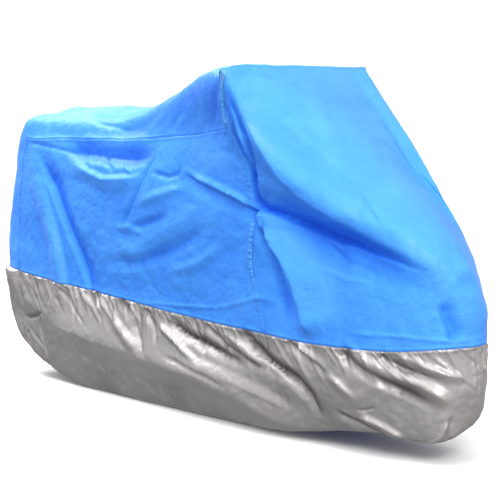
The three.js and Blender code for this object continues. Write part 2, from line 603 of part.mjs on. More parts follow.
// A panel as one closed body: its outer face, its inner face a cloth's thickness in,
// and the cut edge around it, drawn back from its neighbours by the seam gap
function panelSolid(panel) {
  const { grid } = panel;
  const ways = waysIn(panel);
  const rows = grid.length;
  const columns = grid[0].length;
  const positions = [];
  const outer = [];
  const inner = [];
  for (let r = 0; r < rows; r += 1) {
    for (let c = 0; c < columns; c += 1) {
      let point = grid[r][c];
      const towards = [];
      if (r === 0) towards.push(grid[1][c]);
      if (r === rows - 1) towards.push(grid[rows - 2][c]);
      if (c === 0) towards.push(grid[r][1]);
      if (c === columns - 1) towards.push(grid[r][columns - 2]);
      for (const next of towards) {
        point = add(point, scale(unit(sub(next, grid[r][c])), SEAM_GAP));
      }
      outer.push(positions.length / 3);
      positions.push(...point);
      inner.push(positions.length / 3);
      positions.push(...sub(point, scale(ways[r][c], CLOTH)));
    }
  }
  const at = (r, c) => r * columns + c;
  const faces = [];
  for (let r = 0; r < rows - 1; r += 1) {
    for (let c = 0; c < columns - 1; c += 1) {
      const cell = [at(r, c), at(r, c + 1), at(r + 1, c + 1), at(r + 1, c)];
      const [p, q, s, t] = cell;
      const reach = (a, b) => length(sub(grid[Math.floor(a / columns)][a % columns],
        grid[Math.floor(b / columns)][b % columns]));
      const halves = reach(p, s) <= reach(q, t) ? [[p, q, s], [p, s, t]] : [[p, q, t], [q, s, t]];
      for (const [a, b, d] of halves) {
        faces.push(outer[a], outer[b], outer[d], inner[a], inner[d], inner[b]);
      }
    }
  }
  const rim = [];
  for (let c = 0; c < columns - 1; c += 1) rim.push(at(0, c));
  for (let r = 0; r < rows - 1; r += 1) rim.push(at(r, columns - 1));
  for (let c = columns - 1; c > 0; c -= 1) rim.push(at(rows - 1, c));
  for (let r = rows - 1; r > 0; r -= 1) rim.push(at(r, 0));
  const height = (k) => dot(grid[Math.floor(k / columns)][k % columns], SLANT);
  rim.forEach((a, k) => {
    const b = rim[(k + 1) % rim.length];
    if (height(a) < height(b)) {
      faces.push(outer[a], inner[a], outer[b], outer[b], inner[a], inner[b]);
    } else {
      faces.push(outer[a], inner[a], inner[b], outer[a], inner[b], outer[b]);
    }
  });
  const geometry = new THREE.BufferGeometry();
  geometry.setAttribute('position', new THREE.Float32BufferAttribute(positions, 3));
  geometry.setIndex(faces);
  geometry.computeVertexNormals();
  return geometry;
}

const cover = new THREE.Group();
for (const [name, panel] of Object.entries(PANELS)) {
  const mesh = new THREE.Mesh(panelSolid(panel), new THREE.MeshStandardMaterial(panel.finish));
  mesh.name = name;
  cover.add(mesh);
}

export default cover;
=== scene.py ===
# %% [markdown]
# # A motorcycle cover in its hanging form
#
# The object is one sewn piece of soft gear: a blue upper cloth in four cut panels, and a
# silver skirt in three, gathered on to the blue along one seam and drawn in below by an
# elastic hem. Nothing of the machine under it is built, only the cloth.
#
# The lesson goes from the frame that the solids give, through the net of lines that holds the
# cloth's form, to folds, gathers, stitches, the two finishes and the light.

import math

import bpy
import numpy as np
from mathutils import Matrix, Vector, noise


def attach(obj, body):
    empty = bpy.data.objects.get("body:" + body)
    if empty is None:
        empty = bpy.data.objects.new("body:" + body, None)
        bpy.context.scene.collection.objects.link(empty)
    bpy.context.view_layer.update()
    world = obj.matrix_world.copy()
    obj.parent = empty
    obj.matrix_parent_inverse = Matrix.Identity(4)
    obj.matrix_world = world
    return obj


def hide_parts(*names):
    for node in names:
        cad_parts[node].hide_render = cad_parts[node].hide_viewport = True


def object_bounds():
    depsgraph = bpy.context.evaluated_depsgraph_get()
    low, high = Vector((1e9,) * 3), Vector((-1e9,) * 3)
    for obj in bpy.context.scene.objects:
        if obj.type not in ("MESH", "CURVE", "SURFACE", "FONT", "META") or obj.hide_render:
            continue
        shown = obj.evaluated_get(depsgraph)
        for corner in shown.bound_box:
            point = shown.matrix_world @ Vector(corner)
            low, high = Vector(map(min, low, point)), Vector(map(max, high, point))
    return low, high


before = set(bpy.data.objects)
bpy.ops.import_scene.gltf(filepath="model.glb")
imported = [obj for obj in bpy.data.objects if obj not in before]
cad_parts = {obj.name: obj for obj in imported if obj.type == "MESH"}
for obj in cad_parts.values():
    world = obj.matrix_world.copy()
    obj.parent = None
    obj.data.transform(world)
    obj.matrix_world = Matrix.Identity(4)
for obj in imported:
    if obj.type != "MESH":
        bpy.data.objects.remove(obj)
BODY = "root"
SOLID_BOX = [list(corner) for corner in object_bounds()]
print("solids:", sorted(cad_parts))
print("solid box:", [[round(value, 3) for value in corner] for corner in SOLID_BOX])

# %% [markdown]
# ## Camera
#
# A long lens from far off keeps the upright edges nearly parallel, as in a catalogue picture.
# The camera stands in front of the right side, a little above the middle of the cover. It is
# aimed first because every fold is judged from there.

# %% Aim the camera
CAMERA_AZIMUTH = 45.5
CAMERA_ELEVATION = 7.3
CAMERA_DISTANCE = 5.79
CAMERA_TARGET = Vector((0.1123, 0.0, 0.5701))
CAMERA_LENS = 120.0


def aim_camera():
    """Makes the scene's camera and turns it to the cover."""
    azimuth = math.radians(CAMERA_AZIMUTH)
    elevation = math.radians(CAMERA_ELEVATION)
    back = Vector((
        math.sin(azimuth) * math.cos(elevation),
        -math.cos(azimuth) * math.cos(elevation),
        math.sin(elevation),
    ))
    data = bpy.data.cameras.new("camera")
    data.lens = CAMERA_LENS
    data.sensor_width = 36.0
    data.clip_start = 0.1
    data.clip_end = 60.0
    camera = bpy.data.objects.new("camera", data)
    bpy.context.scene.collection.objects.link(camera)
    camera.location = CAMERA_TARGET + back * CAMERA_DISTANCE
    camera.rotation_mode = "QUATERNION"
    camera.rotation_quaternion = (-back).to_track_quat("-Z", "Y")
    bpy.context.scene.camera = camera
    return camera


camera = aim_camera()
print("camera at", [round(value, 2) for value in camera.location])

# %% [markdown]
# ## The net of ribs and levels
#
# A dressmaker would describe this cloth by lines that run over it. A rib goes from the hem to
# the top at one place around the cover, and a level is one height band on every rib. The
# tables below are in millimetres on the bare form, and a smooth curve through them gives any
# point of the cloth. Sculpting would give the form too, but a net can be measured, and it
# keeps the panels' edges in common.

# %% Ribs of the right side and what differs on the left
MILLIMETRE = 0.001
MIDDLE_SHIFT = 55.3
LIFT = 36.1
HEM, JOINT, SHOULDER, TOP = 0, 3, 7, 8
LEVELS = ("hem", "low", "belly", "joint", "waist", "chest", "yoke", "shoulder", "top")
SEAM_RIB, DART_RIB, NOSE_RIB, FAR_DART_RIB, FAR_SEAM_RIB = 2, 6, 11, 16, 20
RIB_COUNT = 22

RIGHT_RIBS = {
    "tail centre": [
        (-1050, 0, 215), (-1095, 0, 190), (-1150, 0, 275), (-1175, 0, 380),
        (-1172, 0, 540), (-1150, 0, 750), (-1132, 0, 850), (-1096, 0, 940)],
    "tail corner": [
        (-1000, -70, 165), (-1084, -121, 116), (-1154, -134, 222), (-1160, -128, 376),
        (-1162, -126, 540), (-1122, -121, 750), (-1088, -118, 840), (-1052, -126, 905)],
    "tail seam": [
        (-940, -95, 92), (-966, -138, 50), (-1045, -160, 205), (-1062, -160, 366),
        (-1062, -158, 530), (-1046, -156, 720), (-1030, -154, 810), (-1010, -150, 884)],
    "seat back": [
        (-760, -98, 16), (-765, -136, -20), (-765, -198, 185), (-760, -184, 351),
        (-750, -188, 520), (-745, -190, 710), (-742, -180, 810), (-740, -158, 893)],
    "seat middle": [
        (-380, -102, 4), (-380, -142, -31), (-380, -214, 160), (-380, -197, 331),
        (-380, -208, 515), (-378, -212, 715), (-376, -198, 818), (-375, -170, 908)],
    "knee": [
        (-20, -108, 2), (-20, -150, -34), (-20, -220, 138), (-20, -204, 311),
        (-25, -218, 515), (-30, -228, 725), (-30, -216, 838), (-30, -192, 936)],
    "dart": [
        (335, -115, 12), (335, -157, -21), (335, -220, 115), (350, -222, 303),
        (300, -229, 537), (325, -245, 705), (292, -256, 852), (212, -262, 965),
        (264, -345, 1160)],
    "flank": [
        (540, -118, 40), (550, -160, 6), (560, -216, 105), (553, -229, 300),
        (462, -227, 500), (372, -238, 690), (362, -272, 835), (318, -306, 952),
        (272, -341, 1168)],
    "brow": [
        (715, -118, 62), (730, -158, 31), (735, -206, 115), (740, -216, 304),
        (660, -204, 490), (560, -205, 662), (512, -270, 790), (417, -300, 913),
        (280, -320, 1171)],
    "cheek": [
        (810, -112, 60), (858, -146, 32), (872, -165, 160), (860, -182, 308),
        (790, -190, 470), (712, -188, 622), (705, -225, 691), (485, -243, 920),
        (284, -260, 1177)],
    "corner": [
        (925, -80, 70), (1000, -108, 34), (1020, -118, 170), (1005, -118, 325),
        (996, -115, 440), (988, -112, 515), (980, -110, 568), (630, -146, 860),
        (290, -180, 1177)],
    "nose": [
        (960, 0, 105), (1026, 0, 70), (1062, 0, 170), (1062, 0, 328),
        (1050, 0, 450), (1024, 0, 535), (985, 0, 600), (642, 0, 883),
        (300, 0, 1175)],
}

LEFT_CHANGES = {
    "tail corner": {"shoulder": (-1075, 132, 950)},
    "dart": {"top": (266, 348, 1152)},
    "flank": {"top": (276, 349, 1162)},
    "brow": {
        "hem": (705, 110, 72), "low": (735, 150, 40), "belly": (745, 170, 150),
        "joint": (750, 185, 304), "waist": (715, 205, 490), "chest": (680, 215, 685),
        "yoke": (632, 230, 836), "shoulder": (461, 297, 992), "top": (284, 328, 1166)},
    "cheek": {
        "hem": (830, 95, 85), "low": (868, 124, 66), "belly": (885, 140, 165),
        "joint": (880, 148, 312), "waist": (865, 160, 470), "chest": (825, 181, 626),
        "yoke": (803, 175, 695), "shoulder": (537, 215, 925), "top": (284, 260, 1165)},
    "corner": {
        "hem": (920, 60, 110), "low": (985, 86, 88), "belly": (1012, 94, 185),
        "joint": (1011, 101, 325), "waist": (1000, 108, 430), "chest": (974, 115, 490),
        "yoke": (947, 125, 551), "shoulder": (622, 160, 866), "top": (290, 180, 1166)},
}

# %% Cross sections of the centre panel
# track, the near roll, the crown and, where it isn't the mirror, the far roll
CENTRE_SECTIONS = [
    (0, (-1160, -128, 376), (-1175, 0, 380), None),
    (1, (-1162, -126, 540), (-1172, 0, 540), None),
    (2, (-1122, -121, 750), (-1150, 0, 750), None),
    (3.4, (-1086, -127, 876), (-1112, 0, 900), None),
    (4, (-1036, -124, 950), (-1062, 0, 960), (-1055, 130, 976)),
    (4.5, (-880, -120, 958), (-905, 0, 988), (-900, 130, 984)),
    (5, (-740, -118, 962), (-740, 0, 996), (-740, 130, 997)),
    (6, (-390, -125, 985), (-440, 0, 1013), (-380, 132, 1006)),
    (7, (-90, -190, 1078), (-195, 0, 1063), None),
    (8, (110, -268, 1141), (60, 0, 1118), None),
    (8.5, (212, -288, 1162), (210, 0, 1154), None),
    (9, (285, -232, 1177), (300, 0, 1172), None),
]
TRACK_SHOULDER, TRACK_DART, TRACK_END = 4, 8, 9
RIDGE_COLUMNS = np.array([6, 8, 8.5, 9 + 1 / 3, 10, 10.5, 11, 11.5, 12, 12 + 2 / 3, 13.5, 14, 16])
RING_REACH = 0.6

# %% Put the tables in the shared frame
MIRROR = np.array([1.0, -1.0, 1.0])
SHIFT = np.array([MIDDLE_SHIFT, 0.0, LIFT])


def ordered_ribs():
    """Every rib around the cover, right side first, as one block of levels."""
    names = list(RIGHT_RIBS)
    block = np.zeros((RIB_COUNT, len(LEVELS), 3))
    counts = np.zeros(RIB_COUNT, int)
    for place, name in enumerate(names):
        points = np.array(RIGHT_RIBS[name], float)
        counts[place] = len(points)
        block[place, :len(points)] = points
        if name in (names[0], names[-1]):
            continue
        other = RIB_COUNT - place
        mirrored = points * MIRROR
        for level, point in LEFT_CHANGES.get(name, {}).items():
            mirrored[LEVELS.index(level)] = point
        counts[other] = len(points)
        block[other, :len(points)] = mirrored
    return block + SHIFT, counts


RIBS, LEVEL_COUNTS = ordered_ribs()
SECTION_TRACKS = np.array([row[0] for row in CENTRE_SECTIONS], float)
ROLLS = np.array([row[1] for row in CENTRE_SECTIONS]) + SHIFT
CROWNS = np.array([row[2] for row in CENTRE_SECTIONS]) + SHIFT
FAR_ROLLS = np.array([
    row[3] or (row[1][0], -row[1][1], row[1][2]) for row in CENTRE_SECTIONS]) + SHIFT
print("ribs:", RIB_COUNT, "levels:", len(LEVELS), "centre sections:", len(CENTRE_SECTIONS))

# %% [markdown]
# A smooth curve runs through the points of a row, and its slope at each point looks at how far
# away the neighbours are. That keeps it from overshooting where points stand close together,
# which a plain spline would do at the bar ends.

# %% Smooth curves through the net


def smoothstep(low, high, value):
    """0 below low, 1 above high and a soft step between them."""
    part = np.clip((value - low) / (high - low), 0.0, 1.0)
    return part * part * (3 - 2 * part)


def between(p0, p1, p2, p3, part, power):
    """The point at part of the way from p1 to p2, with p0 and p3 as neighbours."""
    def span(a, b):
        return np.maximum(np.linalg.norm(b - a, axis=-1, keepdims=True), 1e-6) ** power
    before, here, after = span(p0, p1), span(p1, p2), span(p2, p3)
    slope0, slope1, slope2 = (p1 - p0) / before, (p2 - p1) / here, (p3 - p2) / after
    m1 = (slope0 * here + slope1 * before) * here / (before + here)
    m2 = (slope1 * after + slope2 * here) * here / (here + after)
    t = part[..., None]
    t2, t3 = t * t, t * t * t
    ends = p1 * (2 * t3 - 3 * t2 + 1) + p2 * (3 * t2 - 2 * t3)
    return ends + m1 * (t3 - 2 * t2 + t) + m2 * (t3 - t2)


def open_curve(read, count, place, power):
    """An open curve at each place; read(k) gives point k, and count is how many there are."""
    start = np.clip(np.floor(place + 1e-9).astype(int), 0, count - 2)
    part = np.clip(place - start, 0.0, 1.0)
    p1, p2 = read(start), read(start + 1)
    p0 = np.where((start == 0)[..., None], 2 * p1 - p2, read(np.maximum(start - 1, 0)))
    last = start == count - 2
    p3 = np.where(last[..., None], 2 * p2 - p1, read(np.minimum(start + 2, count - 1)))
    return between(p0, p1, p2, p3, part, power)


def rib_at(rib, level):
    """A point on a rib, for whole numbers of rib."""
    rib = np.broadcast_to(np.asarray(rib) % RIB_COUNT, np.shape(level))
    return open_curve(lambda k: RIBS[rib, k], LEVEL_COUNTS[rib], np.asarray(level, float), 1.0)


def ring_at(rib, level):
    """A point of the closed ring that runs around the cover at a level."""
    rib, level = np.broadcast_arrays(np.asarray(rib, float), np.asarray(level, float))
    start = np.floor(rib + 1e-9).astype(int)
    part = np.clip(rib - start, 0.0, 1.0)
    corners = [rib_at(start + step, level) for step in (-1, 0, 1, 2)]
    return between(*corners, part, 0.5)


def open_front_at(rib, level):
    """A point of the row that runs from dart to dart above the shoulder."""
    rib, level = np.broadcast_arrays(np.asarray(rib, float), np.asarray(level, float))
    count = np.full(rib.shape, FAR_DART_RIB - DART_RIB + 1)
    return open_curve(lambda k: rib_at(k + DART_RIB, level), count, rib - DART_RIB, 0.5)


def front_at(rib, level):
    """A point of the front panel."""
    rib, level = np.broadcast_arrays(np.asarray(rib, float), np.asarray(level, float))
    low = np.minimum(level, SHOULDER)
    ring = ring_at(rib, low)
    high = np.maximum(level, SHOULDER)
    step = ring_at(rib, np.full(rib.shape, float(SHOULDER)))
    step = step - open_front_at(rib, np.full(rib.shape, float(SHOULDER)))
    left = 1 - smoothstep(SHOULDER, SHOULDER + RING_REACH, high)
    upper = open_front_at(rib, high) + step * left[..., None]
    return np.where((level <= SHOULDER)[..., None], ring, upper)


# %% The centre panel runs over the tail, the seat and up to the ridge


def track_edge(track, far):
    """The centre panel's edge on one side, at each place of its track."""
    track = np.asarray(track, float)
    up = rib_at(FAR_SEAM_RIB if far else SEAM_RIB, np.clip(JOINT + track, JOINT, SHOULDER))
    rib = SEAM_RIB + np.clip(track - TRACK_SHOULDER, 0, TRACK_DART - TRACK_SHOULDER)
    along = ring_at(RIB_COUNT - rib if far else rib, np.full(track.shape, float(SHOULDER)))
    dart = rib_at(FAR_DART_RIB if far else DART_RIB,
                  np.clip(SHOULDER + track - TRACK_DART, SHOULDER, TOP))
    first = (track <= TRACK_SHOULDER)[..., None]
    second = (track <= TRACK_DART)[..., None]
    return np.where(first, up, np.where(second, along, dart))


def section_at(track, section):
    """A point of a cross section through the edges, the rolls and the crown."""
    place = np.interp(track, SECTION_TRACKS, np.arange(len(SECTION_TRACKS)))
    count = np.full(place.shape, len(SECTION_TRACKS))
    line = np.stack([
        track_edge(track, False),
        open_curve(lambda k: ROLLS[k], count, place, 0.5),
        open_curve(lambda k: CROWNS[k], count, place, 0.5),
        open_curve(lambda k: FAR_ROLLS[k], count, place, 0.5),
        track_edge(track, True),
    ], axis=-2)
    rows = np.full(place.shape, line.shape[-2])

    def read(k):
        return np.take_along_axis(line, k[..., None, None], axis=-2)[..., 0, :]
    return open_curve(read, rows, section, 0.5)


def centre_at(track, section):
    """A point of the centre panel, from the ring at the rear to the bar ridge."""
    track, section = np.broadcast_arrays(np.asarray(track, float), np.asarray(section, float))
    point = section_at(track, section)
    ring = ring_at((SEAM_RIB - section) % RIB_COUNT, JOINT + np.minimum(track, 1))
    start = smoothstep(0, 1, track)[..., None]
    point = ring * (1 - start) + point * start
    rib = np.interp(section * 3, np.arange(len(RIDGE_COLUMNS)), RIDGE_COLUMNS)
    ridge = open_front_at(rib, np.full(rib.shape, float(TOP)))
    step = ridge - section_at(np.full(track.shape, float(TRACK_END)), section)
    return point + step * smoothstep(TRACK_DART, TRACK_END, track)[..., None]


print("nose at the joint:", ring_at(NOSE_RIB, JOINT).round(1))

# %% [markdown]
# ## Folds
#
# Each fold is a row: the path that it follows on the net, how far it rises or sinks, how wide
# it is on its left and right, and how creased it is. Pushing the cloth along one shared way
# out keeps two panels together where a fold crosses their seam. A cloth simulation would find
# folds of its own, but not these ones, so all of them are placed one by one, and the slack
# between them is a slow wave with a little noise.

# %% The way out of the cover
# where each end of the cover begins to turn the way out, over how far, and how suddenly
TURNS = {"nose": (300, 600, 2), "tail": (850, 250, 2), "up": (500, 450, 5), "down": (-60, 120, 1)}
FLANK_WIDTH = 200


def turn(name, place):
    """How strongly one end turns the way out; place grows towards that end."""
    start, reach, power = TURNS[name]
    return np.maximum(0, (place - start) / reach) ** power


def outward(points):
    """The way in which folds push: sideways on the flanks, along at the ends, up on top."""
    x = points[..., 0] - MIDDLE_SHIFT
    z = points[..., 2] - LIFT
    along = turn("nose", x) - turn("tail", -x)
    up = turn("up", z) - turn("down", -z)
    way = np.stack([along, points[..., 1] / FLANK_WIDTH, up], axis=-1)
    return way / np.linalg.norm(way, axis=-1, keepdims=True)


# %% The large folds
# name, where, rise, left width, right width, sharpness, fade in, fade out, path
FOLDS = [
    ("brow edge", "front", 14, 90, 30, 0.6, 0.25, 0.15, [
        (7.2, 7.8), (7.9, 7.4), (8, 6.9), (7.95, 6.3), (8.2, 5.95), (9, 6.02), (9.6, 6.04),
        (10.1, 5.97)]),
    ("brow undercut", "front", -27, 100, 17, 0.25, 0.05, 0.5, [
        (6.25, 5.09), (6.62, 5.2), (7.3, 5.18), (7.75, 5.02), (8.6, 4.95), (9.25, 5.22),
        (9.56, 5.6), (9.99, 5.92)]),
    ("brow trough", "front", -25, 40, 160, 0.8, 0.06, 0.5, [
        (6.22, 5.07), (6.62, 5.2), (7.3, 5.18), (7.75, 5.02), (8.6, 4.95), (9.25, 5.22),
        (9.56, 5.6), (9.99, 5.92)]),
    ("knot", "front", -26, 60, 60, 0.7, 0, 0, [
        (6.03, 5.02), (6.28, 5.06)]),
    ("dart shadow", "front", -26, 26, 20, 0.4, 0.15, 0, [
        (6.3, 7.75), (6.75, 7.25), (6.65, 6.7), (6.48, 6.2), (6.24, 5.5), (6.15, 5.2)]),
    ("dart ridge", "front", 8, 12, 12, 0.5, 0.2, 0.2, [
        (6.75, 7.75), (7.05, 7.35), (7.02, 6.85), (6.8, 6.3), (6.5, 5.75)]),
    ("flank edge", "front", 34, 150, 40, 0.7, 0.06, 0.12, [
        (6.08, 5.08), (6.5, 5.0), (6.9, 4.74), (7.1, 4.38), (7.15, 3.9), (7.1, 3.45),
        (7.08, 3.06)]),
    ("flank hollow", "front", -20, 30, 44, 0.5, 0.15, 0.3, [
        (6.3, 4.95), (6.55, 4.7), (6.7, 4.3), (6.72, 3.8), (6.66, 3.12)]),
    ("nose dent", "front", -7, 45, 45, 0.2, 0.4, 0.4, [(10.4, 5.1), (10.8, 4.85), (11.3, 4.7)]),
    ("knot crease", "side", 10, 26, 14, 0.4, 0.3, 0, [
        (4.92, 5.87), (5.21, 5.56), (5.55, 5.3), (5.8, 5.16), (6, 5.06)]),
    ("under the knot crease", "side", -9, 14, 60, 0.3, 0.3, 0, [
        (4.92, 5.78), (5.21, 5.46), (5.55, 5.2), (5.8, 5.06), (6, 4.97)]),
    ("crease before the knot", "side", -7, 18, 18, 0.5, 0.2, 0.2, [
        (4.43, 5.77), (4.72, 5.6), (4.85, 5.7), (4.93, 5.87)]),
    ("seat crease", "side", -9, 8, 28, 0.8, 0.2, 0.25, [
        (4.49, 6.46), (4.41, 5.99), (4.33, 5.49), (4.24, 5), (4.11, 4.68), (3.95, 4.25)]),
    ("seat hollow", "side", -25, 66, 42, 0.35, 0.2, 0.25, [
        (2.95, 6.62), (3.3, 6.42), (3.7, 6.28), (4.1, 6.22), (4.5, 6.35)]),
    ("seat hollow rim", "side", 17, 22, 60, 0.5, 0.3, 0.3, [
        (3, 6.1), (3.4, 5.72), (3.7, 5.45), (4, 5.5), (4.4, 5.62)]),
    ("tail pull", "side", 28, 42, 80, 0.1, 0.7, 0.35, [
        (2.14, 6.85), (2.45, 5.4), (2.7, 4.5), (2.88, 3.85), (3.0, 3.08), (3.1, 2.1)]),
    ("tail hollow", "side", -25, 80, 26, 0.3, 0.25, 0.4, [
        (2.38, 6.7), (2.72, 5.2), (3.03, 4.4), (3.26, 3.75), (3.44, 3.1), (3.6, 2.2)]),
    ("side diagonal", "side", 9, 55, 60, 0.2, 0.35, 0.35, [
        (3.75, 4.02), (4.2, 4.03), (4.44, 4.24), (4.85, 4.54), (5.25, 4.92)]),
    ("left knot", "front", -20, 70, 70, 0.6, 0, 0, [(15.75, 5), (15.97, 5)]),
    ("left trough", "front", -22, 70, 48, 0.3, 0.1, 0.55, [
        (15.5, 5), (14.6, 5.05), (13.8, 5.3), (13, 5.5)]),
    ("left knot crease", "side", 11, 14, 50, 0.5, 0.3, 0, [
        (17.3, 5.9), (16.7, 5.5), (16.3, 5.2), (16, 5.03)]),
    ("left seat hollow", "side", -14, 45, 42, 0.2, 0.3, 0.3, [
        (19, 6.4), (18.3, 6.2), (17.6, 6.1)]),
    ("left tail pull", "side", 16, 85, 40, 0.4, 0.2, 0.1, [
        (19.85, 6.8), (19.4, 5.6), (19, 4.6), (18.7, 3.1)]),
    ("left side diagonal", "side", 10, 80, 80, 0.1, 0.4, 0.4, [
        (16.5, 4.9), (17.2, 4.5), (18.1, 4)]),
    ("seat end hollow", "centre", -12, 55, 60, 0.2, 0.2, 0.3, [
        (5.6, 0.2), (5.94, 0.45), (6.23, 0.62), (6.5, 0.7), (6.85, 0.85), (7.2, 1.05)]),
    ("bar end hollow", "centre", -9, 40, 34, 0.2, 0.3, 0.3, [
        (8.5, 0.5), (8.1, 0.45), (7.6, 0.3)]),
    ("far top hollow", "centre", -12, 70, 70, 0.1, 0.4, 0.4, [(6.2, 3.2), (7, 2.9), (7.8, 3)]),
    ("rear pull", "skirt", 17, 26, 40, 0.4, 0.1, 0.3, [
        (3.58, 2.94), (3.9, 2.48), (4.3, 2.02)]),
    ("rear hollow", "skirt", -15, 26, 30, 0.4, 0.1, 0.3, [
        (3.9, 2.97), (4.12, 2.67), (4.28, 2.17), (4.4, 2.02)]),
    ("second hollow", "skirt", -19, 34, 34, 0.4, 0.15, 0.3, [
        (4.61, 2.85), (4.92, 2.63), (5.21, 2.54), (5.5, 2.44), (5.9, 2.32)]),
    ("middle pull", "skirt", 16, 40, 44, 0.3, 0.3, 0.3, [
        (4.7, 2.2), (5.4, 2.06), (6.1, 1.86), (6.75, 1.62)]),
    ("middle hollow", "skirt", -28, 40, 40, 0.5, 0.1, 0.25, [
        (5.62, 2.95), (6.04, 2.55), (6.7, 2.35), (6.97, 2.11), (7.25, 1.48)]),
    ("front pull", "skirt", 26, 40, 46, 0.5, 0.15, 0.2, [
        (7.8, 2.97), (8.8, 2.5), (9.35, 2.33), (10.23, 1.86)]),
    ("front hollow", "skirt", -26, 38, 36, 0.4, 0.1, 0.3, [
        (7.62, 2.95), (8.38, 2.6), (9.16, 2.2), (9.7, 1.96), (10.1, 1.75)]),
    ("left rear pull", "skirt", 12, 40, 34, 0.3, 0.1, 0.3, [(18.9, 2.9), (18.3, 2.4), (17.6, 2)]),
    ("left middle hollow", "skirt", -14, 38, 38, 0.3, 0.1, 0.3, [
        (17.9, 2.95), (17, 2.5), (16, 2.1), (15.2, 1.7)]),
    ("left middle pull", "skirt", 13, 42, 42, 0.3, 0.2, 0.3, [
        (16.9, 2.9), (16, 2.5), (14.8, 2.1), (14, 1.8)]),
    ("left front hollow", "skirt", -12, 36, 36, 0.3, 0.1, 0.3, [
        (15.2, 2.95), (14.3, 2.6), (13.2, 2.3), (12.3, 2)]),
    ("tail gather", "skirt", -10, 40, 40, 0.3, 0.1, 0.3, [
        (21.6, 2.9), (21.75, 2.3), (21.9, 1.6)]),
]

# %% [markdown]
# The creases are the fine lines that the solids leave out: the marks that packing pressed into
# the cloth, short wrinkles that run into the knot, and the thin folds between the long ones of
# the skirt.

